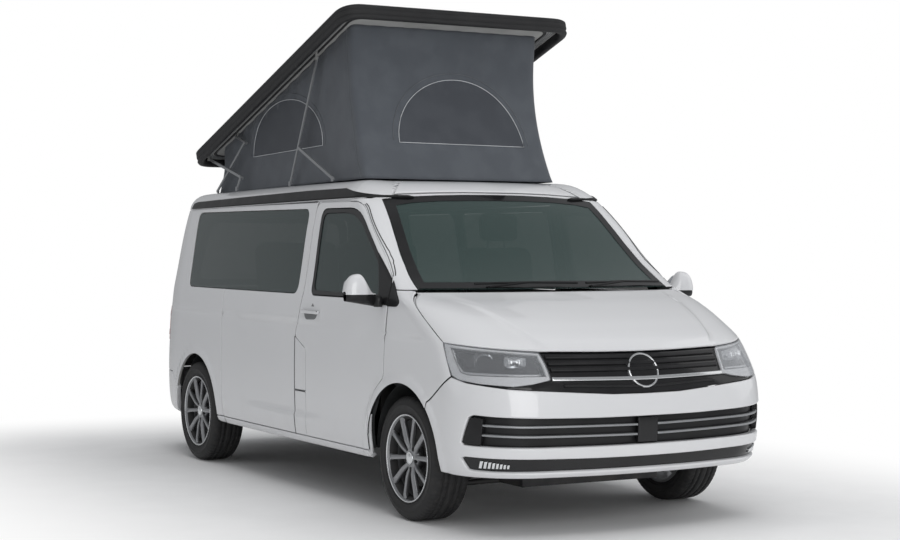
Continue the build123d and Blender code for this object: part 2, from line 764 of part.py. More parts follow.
# Rear trailing arms on the floor, with their spindles
arm_pivot = 3440.0
arm_pivot_level = 300.0
arm_tube = 32.0
arm_half = 600.0
arm_tie = 3480.0
arms = []
for side in (-1, 1):
    pivot = (side * arm_half, arm_pivot, arm_pivot_level)
    arm = rod(pivot, (side * arm_half, axle_rear, tyre_radius), arm_tube)
    arm = arm + rod(pivot, (side * arm_half, arm_pivot, floor_low), arm_tube)
    arm = arm + side_rod(side, arm_half - arm_tube, kingpin_out, axle_rear, tyre_radius, hub_radius)
    arm = arm + side_rod(side, kingpin_out, spindle_out, axle_rear, tyre_radius, hub_bore)
    arms.append(arm)
tie = rod((-arm_half, arm_tie, arm_pivot_level), (arm_half, arm_tie, arm_pivot_level), arm_tube)
keep("rear_arms", arms[0] + tie + arms[1])

# Fuel tank, silencer and tail pipe under the floor
tank_half = 330.0
tank_front = 2250.0
tank_back = 3050.0
tank_low = 235.0
tank_round = 40.0
tank = block(-tank_half, tank_half, tank_front, tank_back, tank_low, floor_low)
keep("fuel_tank", fillet(tank.edges().filter_by(Axis.Y), tank_round))
pipe_radius = 28.0
silencer_radius = 95.0
silencer_front = 4250.0
silencer_back = 4680.0
silencer_place = -250.0
pipe_level = floor_low - silencer_radius
silencer = rod((silencer_place, silencer_front, pipe_level), (silencer_place, silencer_back, pipe_level),
               silencer_radius)
tail = rod((silencer_place, silencer_back, pipe_level), (silencer_place, floor_rear, pipe_level), pipe_radius)
keep("exhaust", silencer + tail)

# Wheels: a tyre on an alloy rim with a disc behind the spokes, turned about the axle
wheel_out = track / 2
disc_radius = 150.0
disc_thick = 24.0
disc_in = 34.0
hub_face = 58.0
spoke_root = 30.0
spoke_tip = 13.0
spoke_pair_turn = 17.0
shoulder = 22.0
tread_half_share = 0.42


def turned(points, place):
    """A ring turned about a wheel's axle from (across, radius) points."""
    ring = [Vector(x, y(place), tyre_radius + r) for x, r in points]
    axis = Axis((0, y(place), tyre_radius), (1, 0, 0))
    return revolve(Face(Wire.make_polygon(ring)), axis)


def tyre(side, place):
    """A hollow tyre: tread, shoulders and sidewalls, open towards the rim."""
    half = tyre_width / 2
    centre = side * wheel_out
    flat = tread_half_share * tyre_width
    bulge = (tyre_radius + bead_radius) / 2
    seat = rim_width / 2 - rim_wall - seat_gap
    outline = [(-flat, tyre_radius), (flat, tyre_radius), (half - tyre_wall / 2, tyre_radius - shoulder),
               (half, bulge), (seat, rim_lip + seat_gap), (seat, bead_radius + seat_gap)]
    inner = [(rim_width / 2 - rim_wall - tyre_wall, bead_radius + seat_gap), (half - tyre_wall, bulge),
             (flat, tyre_radius - tyre_wall)]
    inner += [(-x, r) for x, r in reversed(inner)]
    ring = outline + inner + [(-x, r) for x, r in reversed(outline[2:])]
    return turned([(centre + x, r) for x, r in ring], place)


def rim(side, place):
    """Barrel with both lips, hub with its bore and bolt holes, spokes in pairs and the brake disc."""
    centre = side * wheel_out
    half = rim_width / 2
    barrel = [(-half, bead_radius - rim_wall), (half, bead_radius - rim_wall), (half, rim_lip),
              (half - rim_wall, rim_lip), (half - rim_wall, bead_radius), (-half + rim_wall, bead_radius),
              (-half + rim_wall, rim_lip), (-half, rim_lip)]
    shape = turned([(centre + x, r) for x, r in barrel], place)
    face = half - rim_wall
    hub_in = hub_face - spoke_depth
    hub = side_rod(side, wheel_out + hub_in, wheel_out + face, place, tyre_radius, hub_radius)
    spoke_high = bead_radius - rim_wall / 2
    start = face - spoke_depth
    spoke_low = hub_radius - spoke_root
    spoke = [Vector(-spoke_root / 2, 0, spoke_low), Vector(spoke_root / 2, 0, spoke_low),
             Vector(spoke_tip / 2, 0, spoke_high), Vector(-spoke_tip / 2, 0, spoke_high)]
    for i in range(spoke_count):
        for turn in (-spoke_pair_turn, spoke_pair_turn):
            angle = math.radians(i * 360 / spoke_count + turn)
            ring = []
            for v in spoke:
                across = v.X * math.cos(angle) + v.Z * math.sin(angle)
                up = v.Z * math.cos(angle) - v.X * math.sin(angle)
                ring.append(Vector(centre + side * start, y(place) + across, tyre_radius + up))
            hub = hub + Solid.extrude(Face(Wire.make_polygon(ring)), Vector(side * spoke_depth, 0, 0))
    shape = shape + hub
    disc_start = wheel_out + disc_in - disc_thick
    disc = side_rod(side, disc_start, wheel_out + disc_in, place, tyre_radius, disc_radius)
    carrier = side_rod(side, disc_start, wheel_out + hub_face, place, tyre_radius, hub_radius)
    shape = shape + disc + carrier
    shape = shape - side_rod(side, wheel_out - half, spindle_out + lug_clear, place, tyre_radius,
                             hub_bore + spindle_play)
    for i in range(bolt_count):
        angle = math.radians(180 / bolt_count + i * 360 / bolt_count)
        across = bolt_circle / 2 * math.sin(angle)
        up = tyre_radius + bolt_circle / 2 * math.cos(angle)
        shape = shape - side_rod(side, wheel_out, wheel_out + half, place + across, up, bolt_radius)
    return shape


for name, side, place in (("front_right", -1, axle_front), ("front_left", 1, axle_front),
                          ("rear_right", -1, axle_rear), ("rear_left", 1, axle_rear)):
    keep("tyre_" + name, tyre(side, place))
    keep("rim_" + name, rim(side, place))

# Cabin: dashboard, steering wheel, seats, rear bench and kitchen
dash_front = 1010.0
dash_join = 1092.0
dash_half = 786.0
dash_low = floor_high + toe_height + seat_gap
dash_hood = 1290.0
dash_face = 1360.0
dash_lip = 1070.0
dash_knee = 900.0
dash_knee_place = 1240.0
wheel_place = 1500.0
wheel_level = 1080.0
wheel_tilt = 28.0
steer_radius = 180.0
steer_grip = 15.0
steer_sides = 12
steer_thin = 6.0
steer_spokes = (0, 180, 270)
column_radius = 34.0
column_length = 260.0
seat_front = 1620.0
seat_back_foot = 2060.0
seat_back_top = 2150.0
cushion_low = 700.0
cushion_high = 850.0
cushion_dip = 24.0
back_high = 1440.0
back_thick = 130.0
head_low = 1470.0
head_high = 1650.0
head_lean = 26.0
head_rise = 80.0
head_thick = 96.0
head_half = 132.0
head_post = 62.0
seat_post_radius = 6.5
base_half = 205.0
base_step = 60.0
bench_front = 3300.0
bench_back_foot = 3760.0
bench_back_top = 3870.0
bench_low = 724.0
bench_high = 850.0
bench_top = 1480.0
bench_right = -490.0
bench_left = 760.0
kitchen_front = 2320.0
kitchen_arch_front = 3480.0
kitchen_step = 736.0
kitchen_back = 4300.0
kitchen_top = 1128.0
kitchen_side = 520.0
dash_side = [(dash_front, dash_low), (dash_front, dash_top), (dash_hood, dash_top), (dash_face, dash_lip),
             (dash_face, dash_knee), (dash_knee_place, dash_low)]
dash = side_prism(dash_side, -dash_half, dash_half) & inside
dash = dash + (side_prism(dash_side) & inside & block(right_side, left_side, 0, dash_join, -overrun, high))
dash = dash - side_prism(inset_outline(door_outline, -panel_gap), right_side, -dash_half)
dash = dash - side_prism(inset_outline(door_outline, -panel_gap), dash_half, left_side)
dash = without(dash, *liner_cuts)
keep("dashboard", dash)
wheel_centre = (-seat_half, wheel_place, wheel_level)
tilt = math.radians(wheel_tilt)
away = (0, -math.cos(tilt), -math.sin(tilt))


def along_column(distance):
    """A point on the steering column, that far ahead of the wheel."""
    return tuple(c + distance * a for c, a in zip(wheel_centre, away))


rim_plane = Plane(Vector(wheel_centre[0], y(wheel_centre[1]), wheel_centre[2]), x_dir=(1, 0, 0),
                  z_dir=(0, -math.cos(tilt), -math.sin(tilt)))
grip = []
for i in range(steer_sides):
    angle = math.radians(i * 360 / steer_sides)
    point = Vector(steer_radius + steer_grip * math.cos(angle), 0, steer_grip * math.sin(angle))
    grip.append(rim_plane.from_local_coords(point))
steering = revolve(Face(Wire.make_polygon(grip)), Axis(rim_plane.origin, rim_plane.z_dir))
steering = steering + rod(along_column(0), along_column(column_length), column_radius)
for turn in steer_spokes:
    angle = math.radians(turn)
    point = Vector(steer_radius * math.cos(angle), steer_radius * math.sin(angle), 0)
    point = rim_plane.from_local_coords(point)
    spoke_end = (point.X, point.Y + length / 2, point.Z)
    steering = steering + rod(along_column(0), spoke_end, steer_grip - steer_thin)
keep("steering_wheel", steering - dash)

seat_side = [(seat_front, cushion_low), (seat_front, cushion_high),
             (seat_back_foot, cushion_high - cushion_dip),
             (seat_back_top, back_high), (seat_back_top + back_thick, back_high),
             (seat_back_foot + back_thick, cushion_low)]
head_side = [(seat_back_top, head_low), (seat_back_top - head_lean, head_low + head_rise),
             (seat_back_top, head_high), (seat_back_top + head_thick, head_high),
             (seat_back_top + head_thick, head_low)]
for side in (-1, 1):
    mid = side * seat_half
    seat = side_prism(seat_side, mid - seat_width / 2, mid + seat_width / 2)
    seat = seat + side_prism(head_side, mid - head_half, mid + head_half)
    post_place = seat_back_top + back_thick / 2
    for post in (-head_post, head_post):
        seat = seat + rod((mid + post, post_place, back_high - back_thick),
                          (mid + post, post_place, head_low + head_thick / 2), seat_post_radius)
    keep("front_seats", seat)
    keep("seat_bases", block(mid - base_half, mid + base_half, seat_front + base_step, seat_back_foot,
                             floor_high + seat_gap, cushion_low - seat_gap))

bench_side = [(bench_front, bench_low), (bench_front, bench_high),
              (bench_back_foot, bench_high - cushion_dip),
              (bench_back_top, bench_top), (bench_back_top + back_thick, bench_top),
              (bench_back_foot + back_thick, bench_low)]
keep("rear_bench", side_prism(bench_side, bench_right, bench_left))
keep("seat_bases", block(bench_right, arch_reach - inner_gap, bench_front + base_step, bench_back_foot,
                         floor_high + seat_gap, bench_low - seat_gap))
kitchen_outline = [(kitchen_front, floor_high), (kitchen_arch_front, floor_high),
                   (kitchen_arch_front, kitchen_step), (kitchen_back, kitchen_step),
                   (kitchen_back, kitchen_top), (kitchen_front, kitchen_top)]
kitchen = side_prism(kitchen_outline, right_side, -kitchen_side) & inside
keep("kitchen_unit", kitchen)

# Pop-up roof, drawn shut and then raised about its pole
pole = Axis((0, y(pole_place), pole_height), (1, 0, 0))


def lifted(shape):
    """Turns a shape from the shut roof to the raised one."""
    return shape.rotate(pole, -raise_angle)


def plate(inset, low, high_end, corner=pop_corner):
    """A slab with the pop-up roof's rounded outline."""
    outline = Plane((0, y((pop_front + pop_rear) / 2), low)) * RectangleRounded(
        2 * (pop_half - inset), pop_rear - pop_front - 2 * inset, corner - inset / 2)
    face = outline.face()
    return Solid.extrude(face, Vector(0, 0, high_end - low))


def dome(inset, drop):
    """The roof skin's solid form: an upright edge band, then a crown."""
    base = rim_level + rim_height
    middle = y((pop_front + pop_rear) / 2)
    top_inset = crown_inset + inset
    levels = ((base, inset), (base + edge_band - drop, inset), (base + edge_band + crown - drop, top_inset))
    rings = []
    for level, edge in levels:
        outline = Plane((0, middle, level)) * RectangleRounded(
            2 * (pop_half - edge), pop_rear - pop_front - 2 * edge, pop_corner - inset / 2)
        rings.append(outline.face().outer_wire())
    return Solid.make_loft(rings, ruled=True)


liner_low = rim_level + rim_height - liner_thick
ring = plate(0, rim_level, rim_level + rim_height) - plate(rim_thick, rim_level, rim_level + rim_height)
keep("pop_roof_rim", lifted(ring))
skin_shell = dome(0, 0) - dome(pop_skin, pop_skin)
liner = plate(rim_thick, liner_low, liner_low + liner_thick)


def raised_plane(place, hang):
    """Height of a point hanging below the raised roof's liner."""
    turn = math.radians(raise_angle)
    over_pole = (liner_low - pole_height - hang) / math.cos(turn)
    return pole_height + over_pole + (pole_place - place) * math.tan(turn)


def lane(number):
    """Distance from the middle of the van to a link's own lane."""
    return lane_start + number * lane_pitch


def link(number, start, end):
    """A flat bar with round eyes between two pivots, on both sides."""
    bars = []
    for side in (-1, 1):
        x_low = side * lane(number) - link_thick / 2
        x_high = x_low + link_thick
        run = Vector(0, end[0] - start[0], end[1] - start[1]).normalized()
        across = (-run.Z * link_half_high * bar_share, run.Y * link_half_high * bar_share)
        edge = [(end[0] + across[0], end[1] + across[1]), (end[0] - across[0], end[1] - across[1])]
        body = side_prism([(start[0] + across[0], start[1] + across[1])] + edge
                          + [(start[0] - across[0], start[1] - across[1])], x_low, x_high)
        for place, level in (start, end):
            body = body + rod((x_low, place, level), (x_high, place, level), link_half_high)
        bars.append(body)
    return bars


bar_share = 0.8
half_lane = link_thick / 2 + seat_gap


def foot_plate(number, outer_face, place, level):
    """A bracket standing on the roof deck beside a link's foot."""
    plates = []
    for side in (-1, 1):
        near = side * (lane(number) + outer_face * half_lane)
        far = near + side * outer_face * bracket_thick
        plates.append(block(min(near, far), max(near, far), place - bracket_half, place + bracket_half,
                            deck(place) - skin, level + bracket_half))
    return plates


def hanger(number, outer_face, place, level):
    """A bracket hanging from the raised roof's liner beside a link's top, drawn in the raised position."""
    plates = []
    for side in (-1, 1):
        near = side * (lane(number) + outer_face * half_lane)
        far = near + side * outer_face * bracket_thick
        ahead = place - bracket_half
        behind = place + bracket_half
        plates.append(side_prism([(ahead, level - bracket_half), (behind, level - bracket_half),
                                  (behind, raised_plane(behind, -liner_thick / 2)),
                                  (ahead, raised_plane(ahead, -liner_thick / 2))],
                                 min(near, far), max(near, far)))
    return plates


strut_low = (strut_foot, deck(strut_foot) + pivot_rise)
strut_high = (strut_top, raised_plane(strut_top, strut_hang))
brace_low = (brace_foot, deck(brace_foot) + pivot_rise)
brace_high = (brace_end, brace_end_high)
lower_foot = (low_link_foot, deck(low_link_foot) + pivot_rise)
lower_knee = (low_knee, low_knee_high)
lower_top = (low_link_top, raised_plane(low_link_top, roof_pivot_hang))
upper_top = (high_link_top, raised_plane(high_link_top, roof_pivot_hang))
upper_knee = (high_knee, high_knee_high)
upper_foot = (short_foot, deck(short_foot) + pivot_rise)
keep("roof_strut", *link(1, strut_low, strut_high))
braces = link(2, brace_low, brace_high)
lower_links = link(1, lower_foot, lower_knee)
upper_links = link(2, upper_top, upper_knee)
lane_space = lane_pitch - link_thick - seat_gap
for i, side in ((0, -1), (1, 1)):
    inner_face = lane(2) - link_thick / 2
    braces[i] = braces[i] + side_rod(side, inner_face, inner_face - lane_space, *brace_high, pin_radius)
    inner_face = lane(1) - link_thick / 2
    pin_end = inner_face - lane_space
    lower_links[i] = lower_links[i] + side_rod(side, inner_face, pin_end, *lower_knee, pin_radius)
    outer_face = lane(2) + link_thick / 2
    pin_end = outer_face + lane_space
    upper_links[i] = upper_links[i] + side_rod(side, outer_face, pin_end, *upper_knee, pin_radius)
keep("roof_brace", *braces)
keep("lower_link", *lower_links)
keep("upper_link", *upper_links)
keep("upper_short_link", *link(0, lower_top, lower_knee))
keep("lower_short_link", *link(3, upper_foot, upper_knee))
feet = foot_plate(1, 1, *strut_low) + foot_plate(2, 1, *brace_low)
feet = feet + foot_plate(1, -1, *lower_foot) + foot_plate(3, 1, *upper_foot)
keep("deck_brackets", *[foot - roof for foot in feet])
pop_roof = lifted(skin_shell + liner)
for hang in hanger(1, 1, *strut_high) + hanger(0, -1, *lower_top) + hanger(2, 1, *upper_top):
    pop_roof = pop_roof + hang
keep("pop_roof", pop_roof)

# Tent: four fabric walls from the deck to the raised liner
tent_open = 40.0


def tent_outline(inset):
    """The tent's outline from the side, its walls moved in by inset."""
    top = seat_gap - tent_open * (inset > 0)
    foot = seat_gap - tent_open * (inset > 0)
    return [(deck_front_place + inset, deck(deck_front_place) + foot), (tent_waist + inset, tent_waist_high),
            (tent_top_front + inset, raised_plane(tent_top_front + inset, top)),
            (tent_top_rear - inset, raised_plane(tent_top_rear - inset, top)),
            (deck_rear_place - inset, deck(deck_rear_place) + foot)]


tent = side_prism(tent_outline(0), -tent_half, tent_half)
tent = tent - side_prism(tent_outline(tent_wall), -tent_half + tent_wall, tent_half - tent_wall)
keep("tent", tent)

for name, found in nodes.items():
    shape = found[0] if len(found) == 1 else Compound(children=found)
    export_step(shape, "parts/" + name + ".step")
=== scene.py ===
# %% [markdown]
# A white camper van with its pop-up roof raised over a fabric tent.
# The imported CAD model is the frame: each node is a real piece at its real place, and rides on its own body.
# Nearly all that shows is dressed here with smooth surfaces worked out from a few driving sizes.

# %% Load the frame
import math

import bpy
import numpy as np
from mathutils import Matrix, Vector
from mathutils.geometry import delaunay_2d_cdt


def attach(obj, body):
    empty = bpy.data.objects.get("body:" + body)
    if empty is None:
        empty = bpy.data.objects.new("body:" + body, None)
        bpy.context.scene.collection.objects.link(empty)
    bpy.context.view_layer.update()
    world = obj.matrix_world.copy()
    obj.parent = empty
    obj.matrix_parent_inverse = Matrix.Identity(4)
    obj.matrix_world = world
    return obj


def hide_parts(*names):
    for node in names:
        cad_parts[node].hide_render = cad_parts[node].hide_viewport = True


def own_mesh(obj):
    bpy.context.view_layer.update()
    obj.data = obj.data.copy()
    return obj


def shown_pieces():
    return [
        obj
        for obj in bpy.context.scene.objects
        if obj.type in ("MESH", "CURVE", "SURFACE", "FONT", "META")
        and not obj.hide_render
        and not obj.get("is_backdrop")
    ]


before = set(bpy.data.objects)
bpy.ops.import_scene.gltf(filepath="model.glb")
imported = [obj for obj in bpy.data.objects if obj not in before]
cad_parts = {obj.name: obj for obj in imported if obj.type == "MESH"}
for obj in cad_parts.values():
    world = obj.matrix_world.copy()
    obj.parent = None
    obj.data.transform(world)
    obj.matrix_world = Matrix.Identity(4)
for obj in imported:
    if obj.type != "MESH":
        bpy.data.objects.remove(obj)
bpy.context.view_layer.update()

# %% [markdown]
# The camera stands where the photographer stood: ahead of the van and out on its right side, at eye height.
# A long lens of about 72 mm keeps the far side nearly as large as the near side, as in the picture.

# %% Camera
length = 4.904
camera_place = Vector((-5.339, -9.868, 1.475))
camera_aim = Vector((0.2176, 0.0076, 1.2922))
lens = 71.66
camera_roll = math.radians(0.14)


def placed(name, data):
    """A new object in the scene."""
    made = bpy.data.objects.new(name, data)
    bpy.context.scene.collection.objects.link(made)
    return made


def put_camera():
    """A camera at camera_place looking at camera_aim, rolled a little about its own axis."""
    made = placed("camera", bpy.data.cameras.new("camera"))
    made.data.lens = lens
    made.data.clip_end = 100
    turn = (camera_aim - camera_place).to_track_quat("-Z", "Y").to_matrix().to_4x4()
    roll = Vector((0, 0, 1))
    made.matrix_world = turn.Translation(camera_place) @ turn @ turn.Rotation(camera_roll, 4, roll)
    bpy.context.scene.camera = made


put_camera()
print("camera", round((camera_aim - camera_place).length, 2), "m from its aim")

# %% [markdown]
# A finish on a real van is never one flat colour: paint has fine flake and a clear coat, plastic a grain,
# cloth a weave. The shader nodes that make them are written as sums: a small class wraps a socket and adds a
# Math node for each sign.

# %% Shader arithmetic
class Value:
    """A socket in a material. Signs between values add Math nodes; node() adds any other node."""

    def __init__(self, tree, socket):
        self.tree = tree
        self.socket = socket

    def node(self, kind, settings=None, inputs=None, out=0):
        """Adds a node of a kind, makes its settings, and then fills its inputs with numbers or values."""
        made = self.tree.nodes.new("ShaderNode" + kind)
        for name, setting in (settings or {}).items():
            setattr(made, name, setting)
        for name, value in (inputs or {}).items():
            if isinstance(value, Value):
                self.tree.links.new(value.socket, made.inputs[name])
            else:
                made.inputs[name].default_value = value
        return Value(self.tree, made.outputs[out])

    def maths(self, operation, first, second=0.0, third=0.0):
        return self.node("Math", {"operation": operation}, {0: first, 1: second, 2: third})

    def __add__(self, other):
        return self.maths("ADD", self, other)

    def __sub__(self, other):
        return self.maths("SUBTRACT", self, other)

    def __rsub__(self, other):
        return self.maths("SUBTRACT", other, self)

    def __mul__(self, other):
        return self.maths("MULTIPLY", self, other)

    __radd__ = __add__
    __rmul__ = __mul__

    def above(self, low, high):
        """0 below low, 1 above high, and smooth between."""
        return self.node("MapRange", {"interpolation_type": "SMOOTHSTEP"}, {0: self, 1: low, 2: high})

    def noise(self, scale, detail=2.0, rough=0.5):
        return self.node("TexNoise", {}, {"Vector": self, "Scale": scale, "Detail": detail,
                                          "Roughness": rough})

    def part(self, axis):
        """One coordinate of a vector: 0, 1 or 2 for across, along and up."""
        return self.node("SeparateXYZ", {}, {0: self}, out=axis)

    def blend(self, low, high):
        """A colour between two, by this value."""
        colours = {0: self, 6: low if isinstance(low, Value) else (*low, 1),
                   7: high if isinstance(high, Value) else (*high, 1)}
        return self.node("Mix", {"data_type": "RGBA"}, colours, out=2)

    def bump(self, depth, strength=1.0):
        """A normal tilted by this value as a height, depth metres high."""
        return self.node("Bump", {}, {"Height": self, "Distance": depth, "Strength": strength})


finishes = {}


def finish(name, varying=None, **fixed):
    """A material. fixed fills sockets by name; varying(at) gives links worked out from Object coordinates."""
    made = bpy.data.materials.new(name)
    made.use_nodes = True
    tree = made.node_tree
    surface = tree.nodes["Principled BSDF"]
    for socket, value in fixed.items():
        socket = surface.inputs[socket.replace("_", " ")]
        socket.default_value = (*value, 1) if isinstance(value, tuple) else value
    if varying:
        at = Value(tree, tree.nodes.new("ShaderNodeTexCoord").outputs["Object"])
        for socket, value in varying(at).items():
            tree.links.new(value.socket, surface.inputs[socket])
    finishes[name] = made
    return made


# %% [markdown]
# The paint is a pale silver white. Its flake is a very fine noise that changes the roughness and tilts the
# normal a hair, and the clear coat over it gives the sharp reflections.

# %% Paint and trim
paint_colour = (0.78, 0.785, 0.80)


def paint_look(at):
    flake = at.noise(900, 1)
    cloud = at.noise(1.3, 2)
    tone = (flake * 0.5 + cloud * 0.5).above(0.25, 0.75)
    dust = (0.62 - at.part(2)).above(0.0, 0.4) * at.noise(9, 4).above(0.45, 0.8)
    base = tone.blend(tuple(0.965 * c for c in paint_colour), paint_colour)
    return {"Base Color": (dust * 0.12).blend(base, (0.5, 0.48, 0.45)), "Roughness": 0.30 + flake * 0.12
            + dust * 0.1}


finish("paint", paint_look, Metallic=0.0, Coat_Weight=1.0, Coat_Roughness=0.04)


def grained(dark, light, rough, scale=420, depth=0.0002):
    """A moulded plastic's look: colour and roughness wander a little over a fine leathery grain."""

    def look(at):
        grain = at.node("TexVoronoi", {"feature": "SMOOTH_F1"}, {"Vector": at, "Scale": scale})
        wander = at.noise(6, 3).above(0.3, 0.7)
        return {"Base Color": wander.blend(dark, light), "Roughness": wander * 0.12 + rough,
                "Normal": grain.bump(depth, 0.5)}

    return look


finish("black_trim", grained((0.012, 0.012, 0.013), (0.02, 0.02, 0.021), 0.32), Coat_Weight=0.05,
       Specular_IOR_Level=0.28)
finish("gloss_black", grained((0.008, 0.008, 0.009), (0.013, 0.013, 0.014), 0.08, 60, 0.00002),
       Coat_Weight=0.25, Specular_IOR_Level=0.35)
finish("cabin_plastic", grained((0.022, 0.024, 0.025), (0.034, 0.036, 0.037), 0.5))
finish("pale_lining", grained((0.36, 0.36, 0.35), (0.43, 0.43, 0.42), 0.7, 700))
finish("cabinet", grained((0.33, 0.33, 0.34), (0.42, 0.42, 0.43), 0.35, 90, 0.00005))
finish("steel", grained((0.045, 0.045, 0.048), (0.09, 0.088, 0.085), 0.5, 120, 0.0004), Metallic=0.6)
finish("lining_grey", grained((0.17, 0.175, 0.18), (0.215, 0.22, 0.225), 0.6, 500))
finish("rubber", grained((0.010, 0.010, 0.011), (0.018, 0.018, 0.019), 0.55, 300))


def tyre_look(at):
    scuff = at.noise(26, 5).above(0.35, 0.75)
    fine = at.noise(500, 2)
    return {"Base Color": scuff.blend((0.014, 0.014, 0.015), (0.034, 0.033, 0.032)),
            "Roughness": scuff * 0.2 + 0.62, "Normal": fine.bump(0.0003, 0.4)}


finish("tyre", tyre_look)


def brushed(dark, light, rough):
    """Metal with fine wandering streaks along it."""

    def look(at):
        stretched = at.node("Mapping", {}, {"Vector": at, "Scale": (60.0, 6.0, 60.0)})
        streak = stretched.noise(9, 4).above(0.3, 0.7)
        return {"Base Color": streak.blend(dark, light), "Roughness": streak * 0.12 + rough}

    return look


finish("alloy", brushed((0.27, 0.275, 0.285), (0.36, 0.365, 0.375), 0.30), Metallic=0.75, Coat_Weight=0.4)
finish("link_metal", brushed((0.30, 0.31, 0.32), (0.40, 0.41, 0.42), 0.36), Metallic=0.7)
finish("bright", brushed((0.72, 0.73, 0.74), (0.84, 0.85, 0.86), 0.10), Metallic=1.0)
finish("reflector", brushed((0.66, 0.68, 0.70), (0.86, 0.88, 0.9), 0.16), Metallic=1.0)

# %% [markdown]
# Car glass is tinted green and shows the cabin through it. The pane is a thin film here: part of the light
# passes straight through, more of it is hidden where the pane is seen edge on, and the surface keeps its
# sharp reflection.


# %% Glass
def tinted(front, edge):
    """Alpha rises from front, seen square on, to edge, seen along the pane."""

    def look(at):
        facing = at.node("LayerWeight", {}, {"Blend": 0.35}, out=1)
        smear = at.noise(3, 3).above(0.35, 0.75)
        return {"Alpha": facing * (edge - front) + front, "Roughness": smear * 0.02 + 0.01}

    return look


finish("screen_glass", tinted(0.55, 0.92), Base_Color=(0.040, 0.072, 0.067), IOR=1.52, Coat_Weight=0.5)
finish("dark_glass", tinted(0.62, 0.95), Base_Color=(0.022, 0.044, 0.042), IOR=1.52, Coat_Weight=0.5)
finish("clear_lamp", tinted(0.12, 0.7), Base_Color=(0.55, 0.57, 0.6), IOR=1.5, Coat_Weight=1.0)
finish("red_lamp", grained((0.30, 0.006, 0.006), (0.38, 0.010, 0.010), 0.12, 160, 0.0003), Coat_Weight=1.0)


# %% [markdown]
# Cloth is a weave: two sets of fine waves that cross, lifted a little as a bump, over a slow change of tone.

# %% Cloth
def woven(dark, light, thread):
    """Crossed sine waves of a thread's width in every direction of the cloth, on Object coordinates."""

    def look(at):
        waves = [at.part(axis).maths("SINE", at.part(axis) * (2 * math.pi / thread)) for axis in range(3)]
        weave = waves[0] * waves[1] + waves[1] * waves[2] + waves[0] * waves[2]
        wear = at.noise(7, 4).above(0.3, 0.75)
        tone = (weave * 0.12 + wear).above(0.0, 1.0)
        return {"Base Color": tone.blend(dark, light), "Roughness": wear * 0.08 + 0.86,
                "Normal": weave.bump(0.0004, 0.35)}

    return look


finish("seat_fabric", woven((0.030, 0.033, 0.034), (0.048, 0.052, 0.053), 0.003), Sheen_Weight=0.2)
finish("tent_fabric", woven((0.088, 0.098, 0.113), (0.106, 0.117, 0.133), 0.0022), Sheen_Weight=0.15)
finish("tent_window", woven((0.060, 0.066, 0.078), (0.074, 0.081, 0.094), 0.0016), Sheen_Weight=0.1)
finish("piping", woven((0.60, 0.62, 0.64), (0.72, 0.74, 0.76), 0.0012))
finish("piping_dark", woven((0.15, 0.16, 0.175), (0.20, 0.21, 0.225), 0.0012))
print("finishes", sorted(finishes))

# %% [markdown]
# Every new piece becomes a mesh through one function, which takes points, faces and, where the surface's own
# slope is known, the true normals. A curved panel then shades as smoothly as the formula behind it, with few
# faces.


# %% Points and faces to a piece
def piece(name, points, faces, finish_name, body="van", normals=None, marks=None, looks=(), smooth=True):
    """A mesh riding on a body. marks gives each face the number of its finish in (finish_name, *looks)."""
    mesh = bpy.data.meshes.new(name)
    mesh.from_pydata(np.asarray(points, float).tolist(), [], [tuple(int(i) for i in face) for face in faces])
    mesh.update()
    for look in (finish_name, *looks):
        mesh.materials.append(finishes[look])
    if marks is not None:
        mesh.polygons.foreach_set("material_index", np.asarray(marks, np.int32))
    if smooth:
        mesh.polygons.foreach_set("use_smooth", np.ones(len(mesh.polygons), bool))
    if normals is not None:
        mesh.normals_split_custom_set_from_vertices(np.asarray(normals, float).tolist())
    made = placed(name, mesh)
    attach(made, body)
    return made


def grid_faces(rows, columns, wrap_rows=False, wrap_columns=False, start=0):
    """Quads of a grid of rows by columns points, joined round where asked."""
    index = np.arange(rows * columns).reshape(rows, columns) + start
    if wrap_rows:
        index = np.vstack([index, index[:1]])
    if wrap_columns:
        index = np.hstack([index, index[:, :1]])
    quads = np.stack([index[:-1, :-1], index[:-1, 1:], index[1:, 1:], index[1:, :-1]], -1)
    return quads.reshape(-1, 4)


def unit(vectors):
    """Vectors made one long."""
    return vectors / np.maximum(np.linalg.norm(vectors, axis=-1, keepdims=True), 1e-12)


# %% [markdown]
# The body is one smooth surface. A short table gives its outline at a few heights, as shares of the van's
# length, half width and height. Each outline is four arcs from the middle of the nose to the middle of the
# tail, and between the table's heights each column runs on as a smooth monotone curve, so that no crease
# shows where a row ends.

# %% Body outline
half_width = 0.952
body_top = 1.835
mid_share = 0.469
quarter_share = 0.867
